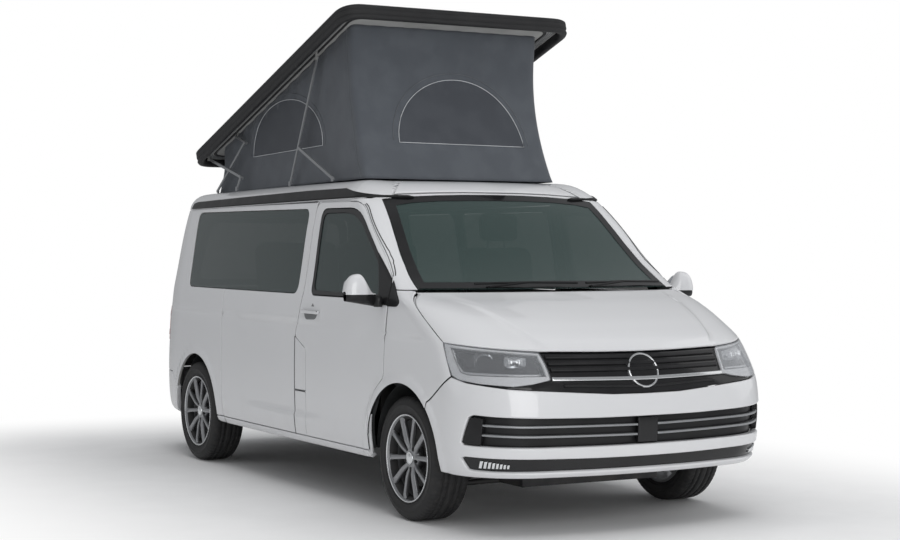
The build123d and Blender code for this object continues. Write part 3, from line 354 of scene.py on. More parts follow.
# Columns: height, nose, nose half, nose end, corner half, corner end, widest, quarter half, tail half, tail
# start, tail
SECTION_SHARES = np.array([
    (0.155, 0.0126, 0.630, 0.0245, 0.951, 0.114, 0.951, 0.930, 0.735, 0.979, 0.989),
    (0.180, 0.0050, 0.651, 0.0180, 0.977, 0.106, 0.979, 0.949, 0.767, 0.986, 0.996),
    (0.251, 0.0010, 0.672, 0.0147, 0.992, 0.102, 0.994, 0.960, 0.777, 0.989, 0.999),
    (0.305, 0.0000, 0.672, 0.0135, 0.996, 0.100, 0.998, 0.962, 0.777, 0.990, 1.0000),
    (0.381, 0.0025, 0.662, 0.0163, 0.997, 0.102, 1.000, 0.963, 0.783, 0.986, 0.9955),
    (0.504, 0.0214, 0.588, 0.0387, 0.989, 0.122, 0.997, 0.959, 0.779, 0.980, 0.989),
    (0.572, 0.0660, 0.683, 0.0856, 0.978, 0.163, 0.987, 0.947, 0.772, 0.976, 0.9857),
    (0.616, 0.1130, 0.746, 0.1305, 0.970, 0.190, 0.979, 0.939, 0.767, 0.974, 0.983),
    (0.664, 0.1730, 0.858, 0.1994, 0.951, 0.221, 0.961, 0.924, 0.758, 0.970, 0.979),
    (0.934, 0.3060, 0.744, 0.3273, 0.857, 0.351, 0.867, 0.835, 0.683, 0.938, 0.948),
    (0.981, 0.3340, 0.699, 0.3550, 0.805, 0.385, 0.814, 0.790, 0.641, 0.918, 0.930),
    (1.000, 0.3560, 0.651, 0.3750, 0.765, 0.404, 0.772, 0.751, 0.609, 0.901, 0.9135),
])
cell = 0.010
soften = 0.022


def eased(at, knots, values):
    """Monotone cubic through the knots: its slopes there are harmonic means of the slopes beside them."""
    step = np.diff(knots)[:, None]
    slope = np.diff(values, axis=0) / step
    product = slope[:-1] * slope[1:]
    total = slope[:-1] + slope[1:]
    inner = np.where(product > 0, 2 * product / np.where(total == 0, 1, total), 0)
    tangent = np.vstack([slope[:1], inner, slope[-1:]])
    span = np.clip(np.searchsorted(knots, at, side="right") - 1, 0, len(knots) - 2)
    t = ((at - knots[span]) / step[span, 0])[:, None]
    rise = (1 + 2 * t) * (1 - t) ** 2 * values[span] + t * t * (3 - 2 * t) * values[span + 1]
    return rise + step[span] * (t * (1 - t) ** 2 * tangent[span] - t * t * (1 - t) * tangent[span + 1])


def arc_through(a, b, c, t):
    """Points at shares t of the circle arc from a through b to c, for many levels at once."""
    squares = [(p ** 2).sum(-1) for p in (a, b, c)]
    turns = [b[:, 1] - c[:, 1], c[:, 1] - a[:, 1], a[:, 1] - b[:, 1]]
    spans = [c[:, 0] - b[:, 0], a[:, 0] - c[:, 0], b[:, 0] - a[:, 0]]
    area = 2 * (a[:, 0] * turns[0] + b[:, 0] * turns[1] + c[:, 0] * turns[2])
    centre = np.stack([sum(s * k for s, k in zip(squares, turns)),
                       sum(s * k for s, k in zip(squares, spans))], -1)
    centre = centre / area[:, None]
    radius = np.linalg.norm(a - centre, axis=-1)[:, None]
    start = np.arctan2(*(a - centre).T[::-1])[:, None]
    turn = (np.arctan2(*(c - centre).T[::-1])[:, None] - start + math.pi) % (2 * math.pi) - math.pi
    angle = start + turn * t
    return centre[:, None] + radius[..., None] * np.stack([np.cos(angle), np.sin(angle)], -1)


def half_outlines(levels):
    """Half outlines (across, place) at each level, and each point's girth, measured on one middling level."""
    rows = eased(levels / body_top, SECTION_SHARES[:, 0], SECTION_SHARES[:, 1:])
    nose, nose_half, nose_end, corner, corner_end, wide, quarter, tail_half, tail_start, tail = rows.T
    pairs = { "nose": (0 * nose, nose * length), "left nose": (-nose_half * half_width, nose_end * length),
             "nose end": (nose_half * half_width, nose_end * length),
             "turn": ((nose_half + 0.75 * (corner - nose_half)) * half_width,
                      (nose_end + 0.33 * (corner_end - nose_end)) * length),
             "corner": (corner * half_width, corner_end * length),
             "side": (wide * half_width, 0 * wide + mid_share * length),
             "quarter": (quarter * half_width, 0 * wide + quarter_share * length),
             "rear turn": ((quarter - 0.33 * (quarter - tail_half)) * half_width,
                           (quarter_share + 0.573 * (tail_start - quarter_share)) * length),
             "tail start": (tail_half * half_width, tail_start * length), "tail": (0 * tail, tail * length),
             "left tail": (-tail_half * half_width, tail_start * length), }
    at = {name: np.stack(pair, -1) for name, pair in pairs.items()}
    half = np.linspace(0.5, 1, 61)
    whole = np.linspace(0, 1, 121)
    arcs = [arc_through(at["left nose"], at["nose"], at["nose end"], half),
            arc_through(at["nose end"], at["turn"], at["corner"], whole)[:, 1:],
            arc_through(at["corner"], at["side"], at["quarter"], whole)[:, 1:],
            arc_through(at["quarter"], at["rear turn"], at["tail start"], whole)[:, 1:],
            arc_through(at["tail start"], at["tail"], at["left tail"], half - 0.5)[:, 1:]]
    outline = np.concatenate(arcs, 1)
    middle = outline[len(levels) // 3]
    girth = np.concatenate([[0], np.cumsum(np.linalg.norm(np.diff(middle, axis=0), axis=-1))])
    return outline, girth


levels = np.arange(SECTION_SHARES[0, 0] * body_top, body_top + cell / 2, cell)
outlines, girth = half_outlines(levels)
around = np.arange(0, girth[-1] + cell / 2, cell)
around = around * girth[-1] / around[-1]
spread = np.arange(-8, 9)
weights = np.exp(-(spread * cell / soften) ** 2 / 2)
weights = weights / weights.sum()


def softened(values, mirrored):
    """A running mean along the girth, past the nose and the tail into the other half of the van."""
    pad = len(spread) // 2
    before = mirrored * values[:, 1:pad + 1][:, ::-1]
    after = mirrored * values[:, -pad - 1:-1][:, ::-1]
    wide = np.hstack([before, values, after])
    return sum(w * wide[:, i:i + values.shape[1]] for i, w in enumerate(weights))


across_table = softened(np.array([np.interp(around, girth, row[:, 0]) for row in outlines]), -1)
place_table = softened(np.array([np.interp(around, girth, row[:, 1]) for row in outlines]), 1)
print("body surface", across_table.shape, "girth", round(float(around[-1]), 3), "m from nose to tail")

# %% [markdown]
# Some lines of the side are pressed into the sheet metal: a sharp groove below the windows, a raised sill
# moulding and a flared lip round each wheel arch. Each is a small push in or out along the wall's own
# direction.

# %% Surface of the body
wheelbase = 3.0
front_axle = 0.908
rear_axle = front_axle + wheelbase
hub_height = 0.330
front_arch = 0.396
rear_arch = 0.384
GROOVE = np.array([(0.707, 0.978), (1.108, 0.982), (2.241, 0.992), (4.312, 1.009), (4.50, 1.010)])
groove_depth = 0.006
groove_half = 0.006
MOULDING = np.array([(1.33, 0.452), (3.411, 0.479)])
moulding_proud = 0.008
lip_width = 0.042
lip_proud = 0.011


def smooth(low, high, values):
    """0 below low, 1 above high, a smooth step between."""
    t = np.clip((values - low) / (high - low), 0, 1)
    return t * t * (3 - 2 * t)


def relief(place, height):
    """How far the side is pressed out at a place and height."""
    line = np.interp(place, *GROOVE.T)
    ends = smooth(0.66, 0.74, place) * (1 - smooth(4.36, 4.44, place))
    dip = np.exp(-((height - line) / groove_half) ** 2) + 0.45 * np.exp(-np.clip(height - line, 0, 1)
                                                                        / 0.03) * (height > line)
    out = -groove_depth * np.minimum(dip, 1) * ends
    sill = np.interp(place, *MOULDING.T)
    span = smooth(1.32, 1.36, place) * (1 - smooth(3.38, 3.44, place))
    out = out + moulding_proud * (1 - smooth(sill - 0.010, sill, height)) * span
    for axle, radius in ((front_axle, front_arch), (rear_axle, rear_arch)):
        far = np.hypot(place - axle, height - hub_height) - radius
        out = out + lip_proud * (1 - smooth(0.55 * lip_width, 1.6 * lip_width, far)) * (height > 0.30)
    return out


def bonnet_swell(x, height):
    """The raised middle of the bonnet, between two creases that run from the lamps to the screen."""
    line = np.interp(height, [0.92, 1.21], [0.50, 0.68])
    rise = smooth(0.918, 0.99, height) * (1 - smooth(1.16, 1.205, height))
    return 0.030 * (1 - smooth(line - 0.015, line + 0.05, x)) * rise


def looked_up(table, s, height):
    """The table's value between its four nearest entries."""
    column = np.clip(s / around[1], 0, len(around) - 1.001)
    row = np.clip((height - levels[0]) / cell, 0, len(levels) - 1.001)
    i, j = row.astype(int), column.astype(int)
    u, v = row - i, column - j
    low = table[i, j] * (1 - v) + table[i, j + 1] * v
    high = table[i + 1, j] * (1 - v) + table[i + 1, j + 1] * v
    return low * (1 - u) + high * u


def wrap(s, height):
    """The body at a girth s from the nose's middle, minus on the right side, and a height."""
    far = np.abs(s)
    past = far > around[-1]
    far = np.where(past, 2 * around[-1] - far, far)
    x = looked_up(across_table, far, height)
    place = looked_up(place_table, far, height)
    step = 2 * cell
    slope_x = looked_up(across_table, far + step, height) - looked_up(across_table, far - step, height)
    slope_place = looked_up(place_table, far + step, height) - looked_up(place_table, far - step, height)
    run = np.maximum(np.hypot(slope_x, slope_place), 1e-9)
    out = relief(place, height) * smooth(0.6, 0.85, x) + bonnet_swell(x, height) * (place < 0.3 * length)
    x = x + out * slope_place / run
    place = place - out * slope_x / run
    side = np.where(past, -1, 1) * np.where(s < 0, -1, 1)
    return np.stack([side * x, place - length / 2, height], -1)


def gate_surface(p, height):
    """The tail at a distance p to the right of its middle."""
    girths = around[-1] - np.arange(0, 0.9, cell)
    grid = levels[:, None] + 0 * girths
    x = looked_up(across_table, np.broadcast_to(girths, grid.shape), grid)
    place = looked_up(place_table, np.broadcast_to(girths, grid.shape), grid)
    even = np.arange(0, 0.78, cell)
    on_even = np.array([np.interp(even, xs, ps) for xs, ps in zip(x, place)])
    row = np.clip((height - levels[0]) / cell, 0, len(levels) - 1.001)
    column = np.clip(np.abs(p) / cell, 0, len(even) - 1.001)
    i, j = row.astype(int), column.astype(int)
    u, v = row - i, column - j
    value = ((on_even[i, j] * (1 - v) + on_even[i, j + 1] * v) * (1 - u)
             + (on_even[i + 1, j] * (1 - v) + on_even[i + 1, j + 1] * v) * u)
    return np.stack([-p, value - length / 2, height], -1)


def between_rows(height, at_row):
    """A value worked out at the table's rows below and above each height, and blended."""
    rows = np.clip((np.ravel(np.asarray(height, float)) - levels[0]) / cell, 0, len(levels) - 1.001)
    return np.array([at_row(k, int(r)) * (1 - r % 1) + at_row(k, int(r) + 1) * (r % 1) for k,
                     r in enumerate(rows)])


def girth_at(place, height):
    """The girth at which a level reaches a place."""
    place = np.ravel(place)
    return between_rows(height, lambda k, row: np.interp(place[k], place_table[row], around))


def girth_across(x, height):
    """The girth at which a level reaches a distance across, on the nose."""
    x, half = np.ravel(x), len(around) // 3
    found = between_rows(height, lambda k,
                         row: np.interp(abs(x[k]), np.maximum.accumulate(across_table[row][:half]),
                                        around[:half]))
    return np.copysign(found, x)


# %% [markdown]
# A panel starts as a flat outline with its holes, drawn in the surface's own two directions. Grid points fill
# the inside, a triangulation joins them, and the surface bends the sheet into place. Its edge then rolls over
# in a small quarter circle and runs inwards to the panel's thickness, so each shut line between two panels is
# a real gap with round lips.


# %% Outlines
def rounded(points, radius, steps=6):
    """A polygon with each corner replaced by a quadratic curve that starts and ends a radius from it."""
    points = np.asarray(points, float)
    radius = np.broadcast_to(radius, len(points))
    t = np.linspace(0, 1, steps)[:, None]
    found = []
    for before, corner, after, size in zip(np.roll(points, 1, 0), points, np.roll(points, -1, 0), radius):
        if size <= 0:
            found.append(corner[None])
            continue
        back, on = before - corner, after - corner
        start = corner + back * min(0.5, size / np.linalg.norm(back))
        end = corner + on * min(0.5, size / np.linalg.norm(on))
        found.append((1 - t) ** 2 * start + 2 * t * (1 - t) * corner + t ** 2 * end)
    return np.vstack(found)


def spaced(loop, step):
    """The loop with points added so that none are further apart than step."""
    ends = np.roll(loop, -1, 0)
    found = []
    for start, end in zip(loop, ends):
        count = max(1, int(np.ceil(np.linalg.norm(end - start) / step)))
        found.append(start + (end - start) * (np.arange(count) / count)[:, None])
    loop = np.vstack(found)
    apart = np.linalg.norm(loop - np.roll(loop, 1, 0), axis=-1)
    return loop[apart > 1e-5]


def arch_arc(axle, radius, start, end, steps=40):
    """Points (place, height) on a wheel arch between two angles, 0 straight back and 180 straight ahead."""
    angle = np.radians(np.linspace(start, end, steps))
    return np.stack([axle + radius * np.cos(angle), hub_height + radius * np.sin(angle)], -1)


def dense(line, step=0.02):
    """An open line with points added so that none are further apart than step."""
    line = np.asarray(line, float)
    found = [line[:1]]
    for start, end in zip(line[:-1], line[1:]):
        count = max(1, int(np.ceil(np.linalg.norm(end - start) / step)))
        found.append(start + (end - start) * (np.arange(1, count + 1) / count)[:, None])
    return np.vstack(found)


def side_loop(points, side):
    """(place, height) points as (girth, height) on one side of the van, -1 for the right."""
    points = dense(points)
    return np.stack([side * girth_at(points[:, 0], points[:, 1]), points[:, 1]], -1)


def front_loop(points):
    """(across, height) points on the nose as (girth, height)."""
    points = np.asarray(points, float)
    return np.stack([girth_across(points[:, 0], points[:, 1]), points[:, 1]], -1)


# %% A curved panel
gap = 0.0025
roll = 0.004


def turned_left(loop, hole):
    """The loop with its material on the left: anticlockwise, or clockwise for a hole."""
    after = np.roll(loop, -1, 0)
    area = (loop[:, 0] * after[:, 1] - after[:, 0] * loop[:, 1]).sum()
    return loop[::-1] if (area < 0) != hole else loop


def outward(loop):
    """At each point of a loop, the direction away from the material, mitred between its two edges."""
    ahead = unit(np.roll(loop, -1, 0) - loop)
    behind = np.roll(ahead, 1, 0)
    normal = np.stack([(ahead + behind)[:, 1], -(ahead + behind)[:, 0]], -1)
    normal = unit(normal)
    lean = (normal * np.stack([ahead[:, 1], -ahead[:, 0]], -1)).sum(-1)
    return normal / np.clip(lean, 0.6, 1)[:, None]


def within(points, loops):
    """True where a point is inside an odd number of loops."""
    inside = np.zeros(len(points), bool)
    for loop in loops:
        after = np.roll(loop, -1, 0)
        for (x0, y0), (x1, y1) in zip(loop, after):
            if y0 != y1:
                cross = (points[:, 1] < y0) != (points[:, 1] < y1)
                inside ^= cross & (points[:, 0] < (x1 - x0) * (points[:, 1] - y0) / (y1 - y0) + x0)
    return inside


def filled(loops, step):
    """Points and triangles that fill the outline loops[0], less the holes in the rest."""
    edge_points = np.vstack(loops)
    low, high = loops[0].min(0), loops[0].max(0)
    grid = np.stack(np.meshgrid(np.arange(low[0], high[0], step), np.arange(low[1], high[1], step)),
                    -1).reshape(-1, 2)
    grid = grid[within(grid, loops)]
    near = np.array([np.min(np.hypot(*(edge_points - g).T)) for g in grid]) if len(grid) else np.zeros(0)
    points = np.vstack([edge_points, grid[near > 0.55 * step]]) if len(grid) else edge_points
    edges, start = [], 0
    for loop in loops:
        edges += [(start + i, start + (i + 1) % len(loop)) for i in range(len(loop))]
        start += len(loop)
    made = delaunay_2d_cdt([Vector(p) for p in points], edges, [], 0, 1e-7)
    corners = np.array([tuple(v) for v in made[0]])
    faces = np.array([f for f in made[2] if len(f) == 3])
    middle = corners[faces].mean(1)
    faces = faces[within(middle, loops)]
    a, b, c = (corners[faces[:, k]] for k in range(3))
    flip = ((b - a)[:, 0] * (c - a)[:, 1] - (b - a)[:, 1] * (c - a)[:, 0]) < 0
    faces[flip] = faces[flip][:, ::-1]
    source = {}
    for k, found in enumerate(made[3]):
        for i in found:
            source[i] = k
    rim = [source[i] for i in range(len(edge_points))]
    return corners, faces, rim


def slopes(surface, at):
    """The surface's normals, from steps along its two directions."""
    step = 0.004
    along = surface(at[:, 0] + step, at[:, 1]) - surface(at[:, 0] - step, at[:, 1])
    up = surface(at[:, 0], at[:, 1] + step) - surface(at[:, 0], at[:, 1] - step)
    return unit(np.cross(along, up))


def panel(name, surface, loops, look, body="van", step=0.03, thick=0.018, sink=0.0, back=None,
          round_edge=roll, shut=gap):
    """A sheet with rolled edges: quarter circle rings, then a wall down to a second sheet, thick below."""
    loops = [turned_left(spaced(np.asarray(loop, float), step), k > 0) for k, loop in enumerate(loops)]
    away = [outward(loop) for loop in loops]
    edge = [loop - shut * out for loop, out in zip(loops, away)]
    flat = [loop - round_edge * out for loop, out in zip(edge, away)]
    corners, faces, rim = filled(flat, step)
    normal = slopes(surface, corners)
    points = [surface(corners[:, 0], corners[:, 1]) - sink * normal]
    normals = [normal]
    marks = [np.zeros(len(faces))]
    quads = []
    rim = np.array(rim)
    count = len(corners)
    base = np.vstack(edge)
    out = np.vstack(away)
    base_normal = slopes(surface, base)
    tip = surface(*(base + 0.002 * out).T) - surface(*base.T)
    tip = unit(tip - (tip * base_normal).sum(-1, keepdims=True) * base_normal)
    angles = np.radians([30, 60, 90])
    rings = [(round_edge * (1 - math.sin(a)), round_edge * (1 - math.cos(a)), math.cos(a), math.sin(a))
             for a in angles]
    rings.append((0.0, thick, 0.0, 1.0))
    previous = rim
    for inset, depth, up, aside in rings:
        at = base - inset * out
        points.append(surface(at[:, 0], at[:, 1]) - (sink + depth) * base_normal)
        normals.append(unit(up * base_normal + aside * tip))
        here = np.arange(len(base)) + count
        quads.append((previous, here))
        previous = here
        count += len(base)
    points.append(points[0] - thick * normal)
    normals.append(-normal)
    quads.append((previous, rim + count))
    all_faces = [tuple(f) for f in faces]
    starts = np.cumsum([0] + [len(loop) for loop in loops])
    for k, (above, below) in enumerate(quads):
        for a, b in zip(starts[:-1], starts[1:]):
            order = np.arange(a, b)
            after = np.roll(order, -1)
            strip = np.stack([above[order], below[order], below[after], above[after]], -1)
            all_faces += [tuple(f) for f in strip]
            marks.append(np.full(len(strip), 1 if back and k >= len(quads) - 2 else 0))
    all_faces += [tuple(f) for f in faces[:, ::-1] + count]
    marks.append(np.full(len(faces), 1 if back else 0))
    looks = (back,) if back else ()
    return piece(name, np.vstack(points), all_faces, look, body, np.vstack(normals), np.concatenate(marks),
                 looks)

# %% [markdown]
# The light is plain and soft: a large overhead sheet, a broad fill from the front and a weak one at each
# side. The floor is pale and turns white a little way from the van. The world is white to the camera and to
# glass, and gentle elsewhere.

# %% Floor and light
shade_strength = 0.36
floor_reach = 60.0
foot_half = (1.0, 2.3, 0.0)
fade_near = 0.2
fade_far = 2.4


def put_stage():
    """A wide floor that fades into a white world, from fade_near to fade_far past the van's own foot."""
    world = bpy.context.scene.world or bpy.data.worlds.new("world")
    bpy.context.scene.world = world
    world.use_nodes = True
    nodes = world.node_tree.nodes
    links = world.node_tree.links
    shade = nodes["Background"]
    shade.inputs["Color"].default_value = (0.96, 0.975, 1.0, 1)
    shade.inputs["Strength"].default_value = shade_strength
    white = nodes.new("ShaderNodeBackground")
    white.inputs["Color"].default_value = (1, 1, 1, 1)
    ray = nodes.new("ShaderNodeLightPath")
    either = nodes.new("ShaderNodeMath")
    either.operation = "MAXIMUM"
    mix = nodes.new("ShaderNodeMixShader")
    links.new(ray.outputs["Is Camera Ray"], either.inputs[0])
    links.new(ray.outputs["Is Transmission Ray"], either.inputs[1])
    links.new(either.outputs[0], mix.inputs[0])
    links.new(shade.outputs[0], mix.inputs[1])
    links.new(white.outputs[0], mix.inputs[2])
    links.new(mix.outputs[0], nodes["World Output"].inputs["Surface"])
    mesh = bpy.data.meshes.new("floor")
    corners = [(x * floor_reach, y * floor_reach, 0) for x, y in ((-1, -1), (1, -1), (1, 1), (-1, 1))]
    mesh.from_pydata(corners, [], [(0, 1, 2, 3)])
    floor = placed("floor", mesh)

    def pale(at):
        grain = at.noise(3, 3).above(0.3, 0.7)
        return {"Base Color": grain.blend((0.93, 0.93, 0.93), (0.96, 0.96, 0.96))}

    made = finish("floor", pale, Roughness=0.8)
    mesh.materials.append(made)
    tree = made.node_tree
    at = Value(tree, tree.nodes.new("ShaderNodeTexCoord").outputs["Object"])
    beyond = at.node("VectorMath", {"operation": "ABSOLUTE"}, {0: at})
    beyond = at.node("VectorMath", {"operation": "SUBTRACT"}, {0: beyond, 1: foot_half})
    beyond = at.node("VectorMath", {"operation": "MAXIMUM"}, {0: beyond, 1: (0.0, 0.0, 0.0)})
    far = at.node("VectorMath", {"operation": "LENGTH"}, {0: beyond}, out=1)
    far = far.above(fade_near, fade_far) * at.node("LightPath")
    white = at.node("Emission", {}, {"Strength": 1.0})
    plain = Value(tree, tree.nodes["Principled BSDF"].outputs[0])
    shade = at.node("MixShader", {}, {0: far, 1: plain, 2: white})
    tree.links.new(shade.socket, tree.nodes["Material Output"].inputs["Surface"])
    floor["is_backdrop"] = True


def put_light(name, place, aim, size, power):
    """A square lamp at a place, turned to its aim."""
    made = placed(name, bpy.data.lights.new(name, "AREA"))
    made.data.size = size
    made.data.energy = power
    made.location = place
    made.rotation_euler = (Vector(aim) - Vector(place)).to_track_quat("-Z", "Y").to_euler()
    made.visible_glossy = name != "overhead"


put_stage()
# Columns: name, place, aim, width, power
for lamp in (("overhead", (0, -1.0, 8.5), (0, 0, 0), 9.0, 330), ("front fill", (-2.0, -11.0, 3.6),
                                                                 (0, -1, 1.0), 6.0, 290),
             ("side fill", (-9.0, 3.0, 3.5), (0, 0.5, 1.0), 5.0, 26), ("far fill", (8.0, -3.0, 4.0),
                                                                       (0, 0, 1.2), 6.0, 70)):
    put_light(*lamp)
bpy.context.scene.view_settings.view_transform = "Standard"

# %% [markdown]
# The right side, which the picture shows, is a fixed wall: its window is one long dark pane with a sliding
# part. Seams run from the belt to the sill at the door, at the B pillar's foot and ahead of the rear wheel.
# The left side has the sliding door in the same place. Both are cut from the same named seams.

# %% Seams of the side
belt = 1.165
pane_top = 1.664
sill_line = 0.335
hinge_seam = 1.108
pillar_seam = 2.190
slide_seam = 3.440
roof_seam_front = 1.7205
roof_seam_rear = 1.6885
roof_seam_start = 1.605
roof_seam_end = 4.313
pillar_top = 1.704
pane_front = 2.279
pane_back = 4.130
slide_pane_back = 3.365
quarter_pane_front = 3.480
pane_round = 0.06
gate_low = 0.566
gate_waist = 1.190
gate_crown = 1.775
gate_half = 0.704
gate_crown_half = 0.606
DOOR_FRONT = [(1.290, sill_line), (1.290, 0.48), (1.245, 0.640), (1.150, 0.715), (hinge_seam, 0.745),
              (hinge_seam, belt)]
DOOR_BACK = [(pillar_seam, pillar_top), (pillar_seam, belt), (2.255, 0.911), (2.100, 0.844),
             (2.100, sill_line)]
FRONT_ROUND = [0.0, 0.06, 0.05, 0.05, 0.03, 0.0]
BACK_ROUND = [0.05, 0.0, 0.03, 0.03, 0.0]
DOOR_UPPER = [(hinge_seam, belt), (hinge_seam, 1.262), (1.271, 1.398), (1.454, 1.547), (1.632, 1.699),
              (1.780, 1.7025)]
UPPER_ROUND = [0.0, 0.05, 0.10, 0.10, 0.09, 0.0]
HOOD_SEAM = [(0.985, 1.2155), (0.958, 1.2085), (0.905, 1.183), (0.823, 1.137), (0.664, 1.049), (0.505, 0.961)]
cowl = 1.2155
lamp_front = 4.585
lamp_low = 0.770
lamp_high = 1.020
bumper_line = 0.564
fine = 0.02
SIDES = ((-1, "right"), (1, "left"))


def on_side(outline, side):
    """A closed outline of (place, height) points on one side, brought to fine spacing."""
    return side_loop(spaced(np.asarray(outline, float), fine), side)


def on_nose(*runs):
    """Runs joined, by distance across and by place on the left in turn. An empty run is left out."""
    return np.vstack([side_loop(run, 1) if k % 2 else front_loop(run) for k, run in enumerate(runs)
                      if len(run)])


def skin(name, loops, look, body="van", **ways):
    """A panel cut from the body's own surface."""
    return panel(name, wrap, loops, look, body, **ways)


def on_tail(points, side):
    """(across, height) points near the tail as (girth, height) on one side."""
    found = []
    back = np.arange(len(around) * 2 // 3, len(around))
    for x, height in points:
        row = min(int(round((height - levels[0]) / cell)), len(levels) - 1)
        found.append((side * np.interp(-x, -across_table[row][back], around[back]), height))
    return np.array(found)


def roof_seam(place):
    """Height of the joint between side and roof."""
    share = np.clip((np.asarray(place) - roof_seam_start) / (roof_seam_end - roof_seam_start), 0, 1)
    return roof_seam_front + (roof_seam_rear - roof_seam_front) * share


def gate_edge(height):
    """Half-width of the tailgate's opening at a height."""
    return float(np.interp(height, [gate_waist, gate_crown], [gate_half, gate_crown_half]))


for side, word in SIDES:
    right = side < 0
    body = "door_" + word + "_body"
    door_pane = rounded([(1.130, 1.160), (2.088, 1.160), (2.108, pane_top), (1.632, pane_top), (1.292, 1.388),
                         (1.130, 1.250)], [0.02, 0.05, 0.06, 0.13, 0.10, 0.05])
    front_seam = rounded(DOOR_FRONT, FRONT_ROUND)
    wing = np.vstack([HOOD_SEAM, [(0.400, 0.797), (0.619, 0.653)], arch_arc(front_axle, front_arch, 134, 22),
                      front_seam[1:], [(hinge_seam, cowl)]])
    skin("front_wing_" + word, [on_side(wing, side)], "paint", back="black_trim")
    back_seam = rounded([(1.780, 1.7025)] + DOOR_BACK, [0.0] + BACK_ROUND)
    upper_seam = rounded(DOOR_UPPER, UPPER_ROUND)
    door = spaced(np.vstack([front_seam, upper_seam[1:-1], back_seam]), fine)
    skin("door_skin_" + word, [side_loop(door, side), on_side(door_pane, side)], "paint", body, thick=0.05,
         back="cabin_plastic")
    inner = rounded([(1.245, 1.190), (2.058, 1.190), (2.076, pane_top - 0.03), (1.655, pane_top - 0.03),
                     (1.318, 1.366)], [0.02, 0.04, 0.05, 0.15, 0.03])
    skin("door_surround_" + word, [on_side(door_pane, side), on_side(inner, side)], "gloss_black", body,
         sink=0.003, thick=0.03, round_edge=0.003)
    skin("door_pane_" + word, [on_side(inner, side)], "dark_glass", body, sink=0.008, thick=0.005,
         round_edge=0.001, shut=-0.002)
    arch = arch_arc(rear_axle, rear_arch, 22, 179.3, 60)
    quarter_top = [(p, float(roof_seam(p))) for p in np.linspace(slide_seam, 4.40, 10)]
    side_part = side_loop(np.vstack([arch, [(slide_seam, sill_line)]]), side)
    top_part = side_loop(quarter_top, side)
    tail_part = on_tail([(gate_edge(h), h) for h in np.linspace(float(roof_seam(4.4)), lamp_high, 14)], side)
    lamp_part = np.vstack([side_loop([(lamp_front, lamp_high), (lamp_front, lamp_low)], side),
                           on_tail([(0.712, lamp_low), (gate_half, 0.70), (gate_half, bumper_line)], side),
                           side_loop([(4.42, bumper_line), (4.275, 0.474)], side)])
    quarter_pane = rounded([(quarter_pane_front, belt), (pane_back, belt), (pane_back, pane_top),
                            (quarter_pane_front, pane_top)], pane_round)
    if right:
        # the long pane runs over the post, so this panel is open ahead of it
        hook = rounded([(slide_seam, pane_top), (pane_back, pane_top), (pane_back, belt), (slide_seam, belt)],
                       [0, pane_round, pane_round, 0])
        above_pane = side_loop(hook, side)
        outline = np.vstack([above_pane, side_loop([(slide_seam, belt), (slide_seam, sill_line)], side),
                             side_part[::-1], lamp_part[::-1], tail_part[::-1], top_part[::-1]])
        skin("quarter_right", [outline], "paint", back="pale_lining")
        fixed = np.vstack([[(pillar_seam, pillar_top), (slide_seam, float(roof_seam(slide_seam)))],
                           rounded([(slide_seam, pane_top), (pane_front, pane_top), (pane_front, belt),
                                    (slide_seam, belt)], [0, pane_round, pane_round, 0]),
                           [(slide_seam, sill_line), (2.250, sill_line), (2.255, 0.911),
                            (pillar_seam, belt)]])
        skin("fixed_panel_right", [on_side(fixed, side)], "paint", back="pale_lining")
        pane = rounded([(pane_front, belt), (pane_back, belt), (pane_back, pane_top), (pane_front, pane_top)],
                       pane_round)
        skin("side_pane_right", [on_side(pane, side)], "dark_glass", sink=0.006, thick=0.005,
             round_edge=0.001, shut=0.001)
    else:
        outline = np.vstack([side_loop([(slide_seam, sill_line)], side), side_part[::-1], lamp_part[::-1],
                             tail_part[::-1], top_part[::-1]])
        skin("quarter_left", [outline, on_side(quarter_pane, side)], "paint", back="pale_lining")
        slide = np.vstack([[(pillar_seam, pillar_top), (slide_seam, float(roof_seam(slide_seam))),
                            (slide_seam, sill_line), (2.100, sill_line), (2.100, 0.844), (2.255, 0.911),
                            (pillar_seam, belt)]])
        slide_pane = rounded([(pane_front, belt), (slide_pane_back, belt), (slide_pane_back, pane_top),
                              (pane_front, pane_top)], pane_round)
        skin("sliding_door_left", [on_side(slide, side), on_side(slide_pane, side)], "paint",
             back="pale_lining")
        for name, pane in (("slide_pane_left", slide_pane), ("quarter_pane_left", quarter_pane)):
            skin(name, [on_side(pane, side)], "dark_glass", sink=0.006, thick=0.005, round_edge=0.001,
                 shut=0.001)
    if right:
        for name, low, high in (("fuel_flap", 0.594, None), ("pillar_foot", sill_line, 0.594)):
            top = [(2.100, 0.844), (2.255, 0.911)] if high is None else [(2.100, high), (2.252, high)]
            strip = top + [(2.252, low), (2.100, low)]
            skin(name, [on_side(strip, side)], "paint")
    sill = [(1.304, 0.289), (3.524, 0.289), (3.524, sill_line), (1.304, sill_line)]
    skin("sill_" + word, [on_side(sill, side)], "paint", thick=0.03)
print("side panels hung")

# %% [markdown]
# The nose is drawn on the same surface, most of it by distance across and height. The bonnet runs from the
# lamps to the screen, the bumper wraps round to the wheel arches, and two long mouths are cut in it for the
# black grilles.

